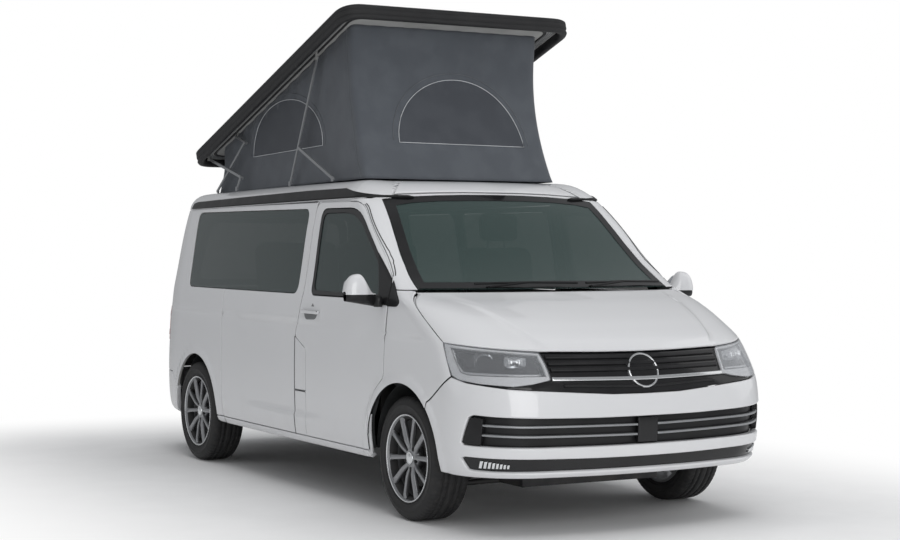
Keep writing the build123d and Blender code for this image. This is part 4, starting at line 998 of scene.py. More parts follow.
# %% Bonnet, bumper and screen frame
lamp_edge_side = side_loop([(0.400, 0.9535)] + HOOD_SEAM[:0:-1], 1)
front_edge = front_loop([(0.06, 0.916), (0.227, 0.917), (0.548, 0.922), (0.75, 0.938)])
bonnet_half = np.vstack([front_edge, lamp_edge_side])
bonnet_loop = np.vstack([bonnet_half * (-1, 1), bonnet_half[::-1]])[::-1]
skin("bonnet_skin", [spaced(bonnet_loop, 0.03)], "paint", "bonnet_body", thick=0.02, back="black_trim",
     round_edge=0.007)
bumper_top = on_nose([(0.0, 0.709), (0.207, 0.711), (0.466, 0.728), (0.764, 0.748)],
                     [(0.300, 0.772), (0.400, 0.797), (0.619, 0.653)])
bumper_low = np.vstack([side_loop(arch_arc(front_axle, front_arch, 134, 174, 24), 1),
                        on_nose([], [(0.514, 0.30), (0.42, 0.292), (0.30, 0.290)],
                                [(0.80, 0.290), (0.6, 0.289), (0.3, 0.288), (0.0, 0.288)])])
bumper_half = np.vstack([bumper_top, bumper_low])
mouth = on_nose([(0.0, 0.590), (0.294, 0.590), (0.60, 0.595), (0.82, 0.604)],
                [(0.245, 0.611), (0.268, 0.600), (0.315, 0.475), (0.300, 0.462)],
                [(0.82, 0.457), (0.60, 0.453), (0.294, 0.451), (0.0, 0.451)])
lip_mouth = on_nose([(0.0, 0.384), (0.284, 0.385), (0.60, 0.390), (0.82, 0.395)],
                    [(0.300, 0.399), (0.322, 0.392), (0.294, 0.340), (0.275, 0.335)],
                    [(0.82, 0.331), (0.60, 0.327), (0.284, 0.325), (0.0, 0.325)])


def both_sides(half):
    """A closed loop from its half on the left side, top first."""
    return spaced(np.vstack([half * (-1, 1), half[::-1]]), 0.03)


skin("bumper_skin", [both_sides(bumper_half), both_sides(mouth), both_sides(lip_mouth)], "paint",
     round_edge=0.009, thick=0.03)
skin("mouth_back", [both_sides(mouth)], "black_trim", sink=0.045, thick=0.006, shut=-0.012, round_edge=0.002)
skin("lip_back", [both_sides(lip_mouth)], "gloss_black", sink=0.016, thick=0.006, shut=-0.010,
     round_edge=0.002)
screen_top = [(0.706, 1.713), (0.55, 1.728), (0.380, 1.737), (0.19, 1.7425), (0.0, 1.744)]
screen_half = on_nose([(0.0, 1.222), (0.4, 1.222), (0.812, 1.222), (0.785, 1.345), (0.758, 1.468),
                       (0.732, 1.59), *screen_top])
header = front_loop([(0.0, 1.757), (0.2, 1.7565), (0.4, 1.752), (0.58, 1.744), (0.69, 1.734)])
pillar_half = np.vstack([front_loop([(0.0, 1.744)]), front_loop(screen_top[-2::-1]),
                         front_loop([(0.732, 1.59), (0.758, 1.468), (0.785, 1.345), (0.8135, cowl)]),
                         side_loop([(hinge_seam, cowl)], 1),
                         side_loop(upper_seam[upper_seam[:, 1] > cowl + 0.01], 1),
                         side_loop([(1.780, float(roof_seam(1.780))), (1.700, 1.7206), (1.632, 1.7205)], 1),
                         header[::-1]])
skin("screen_frame_skin", [both_sides(pillar_half)], "paint", thick=0.045, back="cabin_plastic")
skin("screen_pane", [both_sides(screen_half)], "screen_glass", sink=0.004, thick=0.005, round_edge=0.001,
     shut=0.001)
inner_screen = on_nose([(0.0, 1.262), (0.4, 1.258), (0.745, 1.258), (0.725, 1.345), (0.700, 1.468),
                        (0.672, 1.59), (0.650, 1.676), (0.55, 1.692), (0.380, 1.703), (0.19, 1.7075),
                        (0.0, 1.709)])
skin("screen_band", [both_sides(screen_half), both_sides(inner_screen)], "gloss_black", sink=0.0015,
     thick=0.002, round_edge=0.001, shut=0.002)
print("nose panels hung")

# %% [markdown]
# The face between bonnet and bumper is a black band. On it sit two headlamps, four slats, a bright bar and a
# plain round badge. A headlamp is a silver surround, a dark bed with a round and a square reflector, an L of
# light and a clear lens.

# %% Face: band, slats, bar, badge
face_half = on_nose([(0.0, 0.915), (0.227, 0.916), (0.548, 0.921), (0.75, 0.937)],
                    [(0.400, 0.952), (0.505, 0.962), (0.455, 0.875), (0.400, 0.799), (0.300, 0.773)],
                    [(0.764, 0.749), (0.466, 0.729), (0.207, 0.712), (0.0, 0.710)])
lamp_outer = np.vstack([side_loop([(0.507, 0.963), (0.484, 0.927), (0.450, 0.868), (0.396, 0.800),
                                   (0.342, 0.780)], 1),
                        on_nose([], [(0.236, 0.766)], [(0.734, 0.755), (0.632, 0.766), (0.536, 0.785),
                                                       (0.536, 0.811), (0.546, 0.895), (0.553, 0.9195),
                                                       (0.741, 0.936)])])
lamp_window = on_nose([], [(0.447, 0.938), (0.400, 0.877), (0.350, 0.824), (0.303, 0.813)],
                      [(0.723, 0.809), (0.560, 0.808), (0.570, 0.890), (0.568, 0.903), (0.750, 0.921)])
skin("face_band", [both_sides(face_half), lamp_window * (-1, 1), lamp_window], "gloss_black", sink=0.014,
     thick=0.02, shut=0.001, round_edge=0.002)


def strip(name, line, half_high, reach, look, sink, thick=0.014, start=0.0):
    """A bar across the nose: line gives (across, height) of its middle, out to reach on both sides."""
    x = np.linspace(start, reach, 12)
    mid = np.interp(x, *np.array(line).T)
    over = front_loop(np.stack([x, mid + half_high], -1))
    under = front_loop(np.stack([x, mid - half_high], -1))
    if start:
        for side in (-1, 1):
            skin(f"{name}_{side}", [np.vstack([over, under[::-1]]) * (side, 1)], look, sink=sink, thick=thick,
                 shut=0, round_edge=min(half_high * 0.9, 0.004))
        return
    half = np.vstack([over, under[::-1]])
    skin(name, [both_sides(half)], look, sink=sink, thick=thick, shut=0,
         round_edge=min(half_high * 0.9, 0.005))


for number, height in enumerate((0.897, 0.866, 0.835)):
    strip(f"slat_{number}", [(0, height - 0.003), (0.53, height + 0.002)], 0.0085, 0.527 - 0.003 * number,
          "black_trim", 0.002)
strip("bright_bar", [(0, 0.783), (0.53, 0.790)], 0.0095, 0.530, "bright", -0.003)
strip("low_slat", [(0, 0.742), (0.40, 0.757)], 0.006, 0.47, "black_trim", 0.004)


def lathe(name, centre, axis, profile, look, body="van", steps=64):
    """A ring surface: profile (radius, along) turned about an axis through a centre."""
    axis = np.array(axis, float) / np.linalg.norm(axis)
    aside = np.cross(axis, (0, 0, 1)) if abs(axis[2]) < 0.9 else np.array((1.0, 0, 0))
    aside = aside / np.linalg.norm(aside)
    up = np.cross(axis, aside)
    angle = np.linspace(0, 2 * math.pi, steps, endpoint=False)[:, None]
    radius, along = np.array(profile, float).T
    ring = np.cos(angle)[..., None] * aside + np.sin(angle)[..., None] * up
    points = np.array(centre) + radius[None, :, None] * ring + along[None, :, None] * axis
    return piece(name, points.reshape(-1, 3), grid_faces(steps, len(radius), wrap_rows=True), look, body)


badge_lean = math.radians(22)
BADGE_RIM = [(0.094, -0.02), (0.094, 0.006), (0.091, 0.011), (0.086, 0.012), (0.083, 0.009), (0.082, 0.004)]
BADGE_PLATE = [(0.083, 0.004), (0.07, 0.006), (0.045, 0.008), (0.02, 0.009), (0.0005, 0.0092)]
badge_axis = (0, -math.cos(badge_lean), math.sin(badge_lean))
badge_centre = (0, 0.066 - length / 2, 0.818)
lathe("badge_rim", badge_centre, badge_axis, BADGE_RIM, "bright")
lathe("badge_plate", badge_centre, badge_axis, BADGE_PLATE, "gloss_black")

# %% Headlamps
fin_count = 8
fin_low = 0.346
fin_wide = 0.010


def bowl(name, centre, normal, wide, high, depth, square):
    """A reflector: a dish of superellipse rings, with fine vertical flutes."""
    normal = np.array(normal, float) / np.linalg.norm(normal)
    across = np.cross((0, 0, 1), normal)
    across = across / np.linalg.norm(across)
    up = np.cross(normal, across)
    angle, radius = np.meshgrid(np.linspace(0, 2 * math.pi, 72, endpoint=False), np.linspace(0.03, 1, 16),
                                indexing="ij")
    power = 2 / square
    x = np.sign(np.cos(angle)) * np.abs(np.cos(angle)) ** power * radius * wide
    z = np.sign(np.sin(angle)) * np.abs(np.sin(angle)) ** power * radius * high
    deep = -depth * (1 - radius ** 2) + 0.0012 * np.cos(x * 2 * math.pi / 0.012) * (radius < 0.98)
    points = np.array(centre) + x[..., None] * across + z[..., None] * up + deep[..., None] * normal
    return piece(name, points.reshape(-1, 3), grid_faces(72, 16, wrap_rows=True), "reflector")


for side, word in SIDES:
    flip_side = (side, 1)
    skin("lamp_surround_" + word, [spaced(lamp_outer, fine) * flip_side,
                                   spaced(lamp_window, fine) * flip_side], "paint", sink=0.004, thick=0.02,
         shut=0.004, round_edge=0.004)
    skin("lamp_bed_" + word, [spaced(lamp_window, fine) * flip_side], "gloss_black", sink=0.060, thick=0.004,
         shut=-0.006, round_edge=0.002)
    light = on_nose([], [(0.430, 0.930), (0.385, 0.868), (0.335, 0.828)],
                    [(0.723, 0.822), (0.575, 0.820), (0.575, 0.808), (0.723, 0.809)],
                    [(0.303, 0.812), (0.350, 0.822), (0.400, 0.877), (0.447, 0.937)])
    skin("lamp_light_" + word, [spaced(light, fine) * flip_side], "bright", sink=0.010, thick=0.02,
         shut=0.001, round_edge=0.003)
    skin("lamp_lens_" + word, [spaced(lamp_outer, fine) * flip_side], "clear_lamp", sink=0.000, thick=0.003,
         shut=0.001, round_edge=0.001)
    bowl("lamp_round_" + word, (side * 0.800, 0.318 - length / 2, 0.874), (side * 0.45, -1, 0.18), 0.052,
         0.050, 0.035, 2)
    bowl("lamp_square_" + word, (side * 0.668, 0.222 - length / 2, 0.872), (side * 0.32, -1, 0.25), 0.056,
         0.032, 0.02, 4)
    end = on_nose([], [(0.245, 0.603), (0.268, 0.596), (0.315, 0.472), (0.300, 0.464)],
                  [(0.872, 0.462), (0.868, 0.597)])
    skin("mouth_end_" + word, [end * flip_side], "black_trim", sink=0.008, thick=0.03, shut=0,
         round_edge=0.005)
    for number in range(fin_count):
        share = number / (fin_count - 1)
        x, top = 0.752 + 0.105 * share, 0.366 + 0.018 * share
        low = front_loop([(x, fin_low), (x + fin_wide, fin_low)])
        high = front_loop([(x + fin_wide, top), (x, top)])
        skin(f"fog_fin_{word}_{number}", [np.vstack([low, high]) * flip_side], "bright", sink=0.006,
             thick=0.012, shut=0, round_edge=0.002)
for number, height in enumerate((0.549, 0.499)):
    strip(f"mouth_bar_{number}", [(0.06, height), (0.7, height + 0.006), (0.875, height + 0.014)], 0.006,
          0.872, "link_metal", 0.012, 0.02, start=0.062)
skin("mouth_square", [both_sides(front_loop([(0.0, 0.585), (0.060, 0.585), (0.060, 0.457), (0.0, 0.457)]))],
     "gloss_black", sink=0.012, thick=0.02, shut=0, round_edge=0.004)
print("face dressed")

# %% [markdown]
# The roof is a height over the plan: the lower of the body's own side and a sloping deck, blended where they
# meet. A black strip runs along each side of it. The tail is drawn by distance across: tailgate with its
# glass, lamps and bumper.


# %% Roof
deck_front = 1.836
deck_rear = 1.797
deck_start = 1.913
deck_end = 4.191
hatch_half = 0.60
hatch_front = 2.06
hatch_rear = 4.04


def deck(place):
    """Height of the roof deck, which falls a little from the tent's front foot to its rear foot."""
    return deck_front - (deck_front - deck_rear) * (place - deck_start) / (deck_end - deck_start)


def lower_of(a, b, blend_over):
    """The smaller of two heights, with the corner between them rounded off."""
    mix = np.clip(0.5 + 0.5 * (b - a) / blend_over, 0, 1)
    return b + (a - b) * mix - blend_over * mix * (1 - mix)


def roof_height(x, place):
    """Height of the roof over a point of the plan."""
    flat_place = place.ravel()
    upper = [row for row in range(len(levels)) if levels[row] > 1.3]
    widths = np.array([np.interp(flat_place, place_table[row], across_table[row]) for row in upper])
    widths = np.minimum.accumulate(widths)
    body = np.array([np.interp(-abs(a), -widths[:, k], levels[upper]) for k,
                     a in enumerate(x.ravel())]).reshape(x.shape)
    top = np.minimum(deck(place), 1.8345)
    swell = 0.010 * np.exp(-((np.abs(x) - 0.67) / 0.07) ** 2 - ((place - 1.83) / 0.09) ** 2)
    return lower_of(body, top + 0.002, 0.030) + swell


def put_roof():
    """Rings that shrink from the roof's edge to its middle line, close near the edge, with a lip."""
    tail_side = on_tail([(0.66, 1.70), (0.62, 1.74), (0.606, 1.773), (0.45, 1.774), (0.25, 1.775),
                         (0.0, 1.775)], 1)
    sides = [(p, float(roof_seam(p))) for p in np.linspace(1.66, 4.38, 60)]
    half = np.vstack([front_loop([(0.0, 1.7595), (0.2, 1.759), (0.4, 1.7545), (0.58, 1.7465), (0.68, 1.738)]),
                      side_loop([(1.60, 1.7245)] + sides, 1), tail_side])
    ends = [half[0]]
    for start, end in zip(half[:-1], half[1:]):
        count = max(1, int(np.ceil(np.linalg.norm(end - start) / 0.03)))
        ends += [start + (end - start) * k / count for k in range(1, count + 1)]
    half = np.array(ends)
    edge = wrap(half[:, 0], half[:, 1])
    edge = np.vstack([edge, edge[-2:0:-1] * (-1, 1, 1)])
    x, place = edge[:, 0], edge[:, 1] + length / 2
    inner = np.clip(place, 2.35, 3.9)
    share = np.sin(np.linspace(0, math.pi / 2, 22))[:, None]
    grid_x = x * share
    grid_place = inner + (place - inner) * share
    height = roof_height(grid_x, grid_place)
    height = height + (edge[:, 2] - height[-1]) * share ** 10
    for _ in range(6):
        eased = (np.roll(height, 1, 1) + 2 * height + np.roll(height, -1, 1)) / 4
        height[1:-1] = (eased[:-2] + 2 * eased[1:-1] + eased[2:]) / 4
    points = np.stack([grid_x, grid_place - length / 2, height], -1)
    inward = unit(np.stack([x, place - inner, 0 * x], -1))
    lip = [points[-1] - 0.010 * inward * k - np.array([0, 0, 0.006 * k]) for k in (0.4, 1.5)]
    points = np.concatenate([points, np.array(lip)])
    faces = grid_faces(points.shape[0], points.shape[1], wrap_columns=True)
    middle = points.reshape(-1, 3)[faces].mean(1)
    across, back = np.abs(middle[:, 0]), middle[:, 1] + length / 2
    hatch = (across < hatch_half) & (back > hatch_front) & (back < hatch_rear)
    return piece("roof_skin", points.reshape(-1, 3), faces[~hatch][:, ::-1], "paint")


put_roof()
for side, word in SIDES:
    strip_line = [(1.569, 1.7225), (1.886, 1.776), (2.4, 1.772), (4.20, 1.738), (4.263, 1.730),
                  (4.300, 1.692)]
    back_line = [(p, float(roof_seam(p)) + 0.001) for p in np.linspace(4.28, 1.62, 12)]
    skin("awning_" + word, [side_loop(strip_line + back_line, side)], "black_trim", sink=-0.010, thick=0.016,
         shut=0, round_edge=0.006)
print("roof laid")

# %% Tail
gate_high = 1.771
gate_top_half = 0.602
bumper_under = 0.2895


def both_ways(half):
    """A loop on the tail from its half, given as (distance across, height) from the middle out and back."""
    half = np.array(half, float)
    return spaced(np.vstack([half, half[::-1] * (-1, 1)]), 0.03)


gate = both_ways([(0, gate_high), (gate_top_half, gate_high), (gate_half, gate_waist), (gate_half, gate_low),
                  (0, gate_low)])


def oblong(half_top, top, half_low, low, turn):
    """A four-sided shape on the tail with rounded corners, the same on both sides of the middle."""
    return rounded([(half_top, top), (-half_top, top), (-half_low, low), (half_low, low)], turn)


def on_gate(name, loops, look, **ways):
    """A panel cut from the tail's surface that rides on the tailgate."""
    return panel(name, gate_surface, loops, look, "tailgate_body", **ways)


gate_pane = spaced(oblong(0.560, 1.655, 0.645, 1.145, 0.09), 0.03)
gate_clear = spaced(oblong(0.500, 1.605, 0.575, 1.20, 0.07), 0.03)
plate_recess = spaced(oblong(0.30, 0.86, 0.30, 0.70, 0.025), 0.03)
arm = rounded([(0.30, 1.225), (-0.02, 1.215), (-0.02, 1.200), (0.30, 1.213)], 0.004)
on_gate("gate_skin", [gate, gate_pane, plate_recess], "paint", thick=0.05, back="pale_lining")
on_gate("gate_glass", [gate_pane], "dark_glass", sink=0.005, thick=0.005, shut=0.001, round_edge=0.001)
on_gate("gate_surround", [gate_pane, gate_clear], "gloss_black", sink=0.011, thick=0.003, shut=0.002,
        round_edge=0.001)
on_gate("plate_bed", [plate_recess], "black_trim", sink=0.020, thick=0.006, shut=-0.004, round_edge=0.002)
plate = oblong(0.26, 0.835, 0.26, 0.725, 0.01)
on_gate("plate", [plate], "pale_lining", sink=0.014, thick=0.003, shut=0, round_edge=0.001)
grip = oblong(0.33, 0.915, 0.33, 0.885, 0.01)
on_gate("gate_grip", [grip], "bright", sink=-0.012, thick=0.016, shut=0, round_edge=0.007)
on_gate("gate_wiper", [arm], "black_trim", sink=-0.016, thick=0.010, shut=0, round_edge=0.003)
for side, word in SIDES:
    lamp = np.vstack([side_loop([(lamp_front, lamp_high), (lamp_front, lamp_low)], side),
                      on_tail([(0.712, lamp_low), (0.712, lamp_high)], side)])
    skin("tail_lamp_" + word, [lamp], "red_lamp", sink=-0.002, thick=0.03, shut=0.003, round_edge=0.008)
    for number, height in enumerate((0.83, 0.96)):
        inset = np.vstack([side_loop([(lamp_front + 0.03, height + 0.02), (lamp_front + 0.03, height - 0.02)],
                                     side), on_tail([(0.735, height - 0.02), (0.735, height + 0.02)], side)])
        skin(f"tail_light_{word}_{number}", [inset], "reflector" if number else "red_lamp", sink=-0.004,
             thick=0.006, shut=0, round_edge=0.004)

# the bumper's outline runs on past the tail's middle, where the girth goes on down the left side
right_corner = np.vstack([side_loop(arch_arc(rear_axle, rear_arch, -6, 22, 12), -1),
                          side_loop([(4.42, bumper_line)], -1), on_tail([(gate_half, bumper_line)], -1)])
far_corner = np.stack([-2 * around[-1] - right_corner[:, 0], right_corner[:, 1]], -1)
bumper_foot = np.array([(right_corner[0, 0], bumper_under), (far_corner[0, 0], bumper_under)])
rear_loop = np.vstack([right_corner, far_corner[::-1], bumper_foot[::-1]])
skin("rear_bumper_skin", [spaced(rear_loop, 0.03)], "paint", thick=0.03, round_edge=0.008)
for side in (-1, 1):
    middle = -around[-1] - side * 0.62
    patch = np.array([(middle - 0.07, 0.50), (middle + 0.07, 0.50), (middle + 0.07, 0.475),
                      (middle - 0.07, 0.475)])
    skin(f"rear_reflector_{side}", [patch], "red_lamp", sink=-0.003, thick=0.006, shut=0, round_edge=0.003)
print("tail hung")

# %% [markdown]
# Thin trims close the seams: a painted rebate behind each door and beside the bonnet, and the black corner of
# the door glass. The tent is one sheet round the opening, from the deck up to the raised roof, drawn by share
# across, share back and share up. Its windows are D shapes with a double piping, as the picture shows them.

# %% Rebates and door details
def tube(name, line, radius, look, closed=False, steps=8):
    """A round section swept along a line of points."""
    line = np.asarray(line, float)
    ahead = np.roll(line, -1, 0) - line if closed else np.gradient(line, axis=0)
    if closed:
        ahead = ahead + (line - np.roll(line, 1, 0))
    ahead = unit(ahead)
    guide = np.where(np.abs(ahead[:, 2:]) > 0.9, np.array([[1.0, 0, 0]]), np.array([[0, 0, 1.0]]))
    aside = unit(np.cross(ahead, guide))
    up = np.cross(aside, ahead)
    angle = np.linspace(0, 2 * math.pi, steps, endpoint=False)
    ring = np.cos(angle)[None, :, None] * aside[:, None] + np.sin(angle)[None, :, None] * up[:, None]
    points = line[:, None] + radius * ring
    faces = [tuple(f) for f in grid_faces(len(line), steps, wrap_rows=closed, wrap_columns=True)]
    if not closed:
        faces += [tuple(range(steps)), tuple(range(len(line) * steps - 1, (len(line) - 1) * steps - 1, -1))]
    return piece(name, points.reshape(-1, 3), faces, look)


for side, word in SIDES:
    body = f"door_{word}_body"
    seam = side_loop(door, side)
    skin("door_rebate_" + word, [seam, seam], "paint", sink=0.010, thick=0.008, shut=-0.024, round_edge=0.001)
    beside = [(1.18, 1.200), (1.18, cowl), (0.985, cowl), (0.823, 1.137), (0.505, 0.961), (0.505, 0.93),
              (0.84, 1.09), (1.0, 1.165)]
    skin("bonnet_rebate_" + word, [side_loop(beside, side)], "paint", sink=0.016, thick=0.008, shut=-0.012,
         round_edge=0.001)
    sail = rounded([(1.318, 1.412), (1.243, 1.215), (1.232, 1.138), (1.1105, 1.127), (1.1105, 1.262)],
                   [0.004, 0.01, 0.03, 0.004, 0.02])
    skin("mirror_sail_" + word, [on_side(sail, side)], "black_trim", body, sink=-0.003, thick=0.012, shut=0,
         round_edge=0.003)
    ahead = rounded([(1.1065, 1.264), (1.1065, 1.124), (1.002, 1.125), (0.978, 1.149), (1.055, 1.222)],
                    [0.002, 0.004, 0.02, 0.02, 0.03])
    skin("mirror_corner_" + word, [on_side(ahead, side)], "black_trim", sink=-0.003, thick=0.010, shut=0,
         round_edge=0.003)
    for number, off in enumerate((0.006, 0.012)):
        line = upper_seam[upper_seam[:, 1] > 1.275]
        line = line[line[:, 0] < 1.62] - (off * 0.76, -off * 0.65)
        at = wrap(*side_loop(line, side).T)
        tube(f"gasket_{word}_{number}", at, 0.0030, "rubber" if number else "lining_grey", steps=6)
    dimple = rounded([(2.150, 1.062), (1.955, 1.060), (1.985, 1.020), (2.120, 1.015)],
                     [0.01, 0.02, 0.025, 0.025])
    skin("handle_dimple_" + word, [side_loop(dimple, side)], "lining_grey", body, sink=-0.0015, thick=0.003,
         shut=0, round_edge=0.001)
    grip = rounded([(2.165, 1.073), (1.930, 1.070), (1.930, 1.050), (2.165, 1.051)], 0.009)
    skin("handle_grip_" + word, [side_loop(grip, side)], "paint", body, sink=-0.020, thick=0.018, shut=0,
         round_edge=0.008)
    mark = rounded([(2.052, 1.094), (2.034, 1.112), (2.012, 1.094)], 0.003)
    skin("lock_mark_" + word, [side_loop(mark, side)], "lining_grey", body, sink=-0.001, thick=0.002, shut=0,
         round_edge=0.0005)
    for number, (start, end) in enumerate((((2.098, 0.600), (2.252, 0.600)),
                                           ((2.255, 0.911), (2.255, sill_line)))):
        line = np.linspace(start, end, 24)
        at = wrap(*side_loop(line, side).T)
        tube(f"pillar_line_{word}_{number}", at, 0.0022, "lining_grey")

# %% Mirrors
mirror_inner = 0.966
mirror_reach = 0.180
mirror_place = 1.184
mirror_half_deep = 0.050
mirror_foot = 1.188
mirror_rise = 0.106
mirror_rows = 36
mirror_columns = 25


def put_mirror(side, word):
    """A painted dome with a flat foot, tapering inwards to a tip, on a black base that reaches the door."""
    body = f"door_{word}_body"
    u, v = np.meshgrid(np.linspace(0, 1, mirror_rows), np.linspace(0, 1, mirror_columns), indexing="ij")
    across = mirror_inner + mirror_reach * u
    tip = np.sqrt(np.clip(1 - (np.maximum(u - 0.55, 0) / 0.452) ** 2.6, 0, 1))
    rise = np.where(u < 0.55, smooth(0.0, 0.55, u) ** 1.15, tip)
    thin = np.sqrt(np.clip(1 - (np.maximum(u - 0.6, 0) / 0.402) ** 2.4, 0, 1))
    depth = 0.30 + 0.70 * np.minimum(smooth(0.0, 0.45, u), thin)
    angle = math.pi * v
    around_x = -np.sign(np.cos(angle)) * np.abs(np.cos(angle)) ** 0.75
    place = mirror_place + mirror_half_deep * depth * around_x
    height = mirror_foot + (0.004 + mirror_rise * rise) * np.sin(angle) ** 0.72
    cap = np.stack([side * across, place - length / 2, height], -1)
    foot = cap.copy()
    foot[..., 2] = mirror_foot
    points = np.concatenate([cap.reshape(-1, 3), foot.reshape(-1, 3)])
    quads = grid_faces(mirror_rows, mirror_columns)
    count = mirror_rows * mirror_columns
    faces = np.concatenate([quads, quads[:, ::-1] + count])
    if side > 0:
        faces = faces[:, ::-1]
    piece("mirror_cap_" + word, points, faces, "paint", body)
    base_high = mirror_foot - 0.002
    base_low = base_high - (0.034 + 0.030 * (1 - u)) * np.sin(angle) ** 0.6
    ribs = 0.0015 * np.sin(base_low * 420)
    base_place = mirror_place + (0.046 + ribs) * depth * around_x - length / 2
    hull = np.stack([side * (across - 0.002), base_place, base_low], -1)
    top = hull.copy()
    top[..., 2] = base_high
    points = np.concatenate([hull.reshape(-1, 3), top.reshape(-1, 3)])
    faces = np.concatenate([quads[:, ::-1], quads + count])
    if side > 0:
        faces = faces[:, ::-1]
    piece("mirror_base_" + word, points, faces, "black_trim", body)
    lathe("mirror_knuckle_" + word, (side * 0.952, 1.172 - length / 2, 1.120), (0, 0, 1),
          [(0.0005, 0.062), (0.014, 0.061), (0.022, 0.055), (0.026, 0.045), (0.026, 0.006), (0.022, 0.0),
           (0.0005, -0.001)], "black_trim", body, steps=36)
    glass = np.array([(0.985, 1.196), (1.010, 1.240), (1.045, 1.272), (1.090, 1.280), (1.125, 1.255),
                      (1.136, 1.196)])
    glass = rounded(glass, 0.012)
    back = np.column_stack([side * glass[:, 0], np.full(len(glass), 1.2335 - length / 2), glass[:, 1]])
    front = back - (0, 0.012, 0)
    count = len(glass)
    faces = [tuple(range(count)), tuple(range(2 * count - 1, count - 1, -1))]
    faces += [(k, (k + 1) % count, count + (k + 1) % count, count + k)[::-1] for k in range(count)]
    if side < 0:
        faces = [f[::-1] for f in faces]
    piece("mirror_glass_" + word, np.vstack([back, front]), faces, "reflector", body, smooth=False)


for side, word in SIDES:
    put_mirror(side, word)
print("doors trimmed, mirrors hung")

# %% Tent
tilt = math.radians(18.2)
pole_place = 4.915
pole_height = 1.840
pole = np.array([0, pole_place - length / 2, pole_height])
tent_half = 0.6505
tent_foot = deck_start
tent_head = 2.114
tent_rear = deck_end
tent_lean = 0.085
tent_top = 2.759
tent_gap = 0.004
tent_lift = 0.003
front_curve = np.polyfit([pole_height, 2.326, tent_top], [tent_foot, 2.101, tent_head], 2)


def raised(points):
    """Points of the shut roof turned up about its pole."""
    off = np.asarray(points, float) - pole
    cos, sin = math.cos(-tilt), math.sin(-tilt)
    return np.stack([off[..., 0], off[..., 1] * cos - off[..., 2] * sin, off[..., 1] * sin + off[..., 2]
                     * cos], -1) + pole


def front_wall(up):
    """The place of the front wall at a share of its height."""
    return np.polyval(front_curve, pole_height + (tent_top - pole_height) * up)


def tent_ends(b):
    """Heights of the deck under the cloth and of the raised roof over it, at a share back."""
    low = deck(tent_foot + b * (tent_rear - tent_foot)) + tent_lift
    head = tent_head + b * (tent_rear - tent_lean - tent_head)
    return low, pole_height + (pole_place - head) * math.tan(tilt) - tent_gap


def tent_point(a, b, up):
    """The tent at share across a (-1 to 1), share back b (0 to 1) and share up."""
    place = front_wall(up) * (1 - b) + (tent_rear - tent_lean * up) * b
    low, high = tent_ends(b)
    height = low + (high - low) * up
    waist = np.sin(math.pi * up) * (0.014 + 0.010 * np.sin(math.pi * b))
    across = a * (tent_half - waist)
    return np.stack([across, place - length / 2, height], -1)


def tent_front(x, height):
    """Front wall by distance across and height."""
    low, high = tent_ends(0.0)
    up = (height - low) / (high - low)
    return tent_point(x / tent_half, 0 * x, up)


def tent_side(s, height):
    """Side walls by place, minus on the right side, and height."""
    side, place = np.sign(s), np.abs(s)
    b = np.clip((place - 2.0) / 2.15, 0, 1)
    for _ in range(10):
        low, high = tent_ends(b)
        up = (height - low) / (high - low)
        front = front_wall(up)
        b = (place - front) / (tent_rear - tent_lean * up - front)
    return tent_point(side, b, up)


def put_tent():
    """The sheet, cut as one band: about 7.1 m round, 0.96 m high at the front and 0.32 m at the tail."""
    back = tent_rear - tent_foot
    plan = [(-tent_half, 0), (tent_half, 0), (tent_half, back), (-tent_half, back)]
    plan = spaced(rounded(plan, 0.045), 0.022)
    up = np.linspace(0, 1, 44)
    a = np.tile(plan[:, 0] / tent_half, (len(up), 1))
    b = np.tile(plan[:, 1] / back, (len(up), 1))
    up = np.tile(up[:, None], (1, len(plan)))
    skin = tent_point(a, b, up)
    tangent = np.roll(skin, -1, 1) - np.roll(skin, 1, 1)
    rise = np.gradient(skin, axis=0)
    out = unit(np.cross(tangent, rise))
    corner = np.exp(-((np.abs(a) - 1) / 0.12) ** 2 - (b / 0.05) ** 2)
    front_slack = 0.0022 * np.sin(31 * a + 5 * up) * (b < 0.001) * (0.3 + up ** 3)
    side_slack = 0.0030 * np.sin(70 * b + 9 * up) * (b > 0.05) * (0.25 + up ** 4) * (1 - corner)
    slack = front_slack + side_slack
    hem = -0.004 * smooth(0.930, 0.945, up) + 0.0015 * np.exp(-((up - 0.935) / 0.006) ** 2)
    foot = 0.0025 * (1 - smooth(0.0, 0.03, up))
    skin = skin + (slack + hem + foot)[..., None] * out
    inner = skin - 0.0022 * out
    rows, columns = skin.shape[:2]
    points = np.concatenate([skin, inner[::-1]]).reshape(-1, 3)
    faces = grid_faces(2 * rows, columns, wrap_rows=True, wrap_columns=True)
    made = piece("tent_sheet", points, faces, "tent_fabric")
    step = np.linalg.norm(np.roll(skin, -1, 1) - skin, axis=-1)
    area = float((0.5 * (step[1:] + step[:-1]) * np.linalg.norm(np.diff(skin, axis=0), axis=-1)).sum())
    print("tent area", round(area, 2), "m2, round", round(float(step[0].sum()), 2), "m")
    return made, area, float(step[0].sum())


def d_shape(corners, top):
    """Half an ellipse-like arch on a straight sill: corners are its two ends and top its crown."""
    (x0, z0), (x1, z1) = corners
    angle = np.linspace(0, math.pi, 40)
    share = 0.5 - 0.5 * np.cos(angle)
    sill = np.column_stack([x0 + (x1 - x0) * share, z0 + (z1 - z0) * share])
    return sill + np.column_stack([0 * share, (top - (z0 + z1) / 2) * np.sin(angle)])


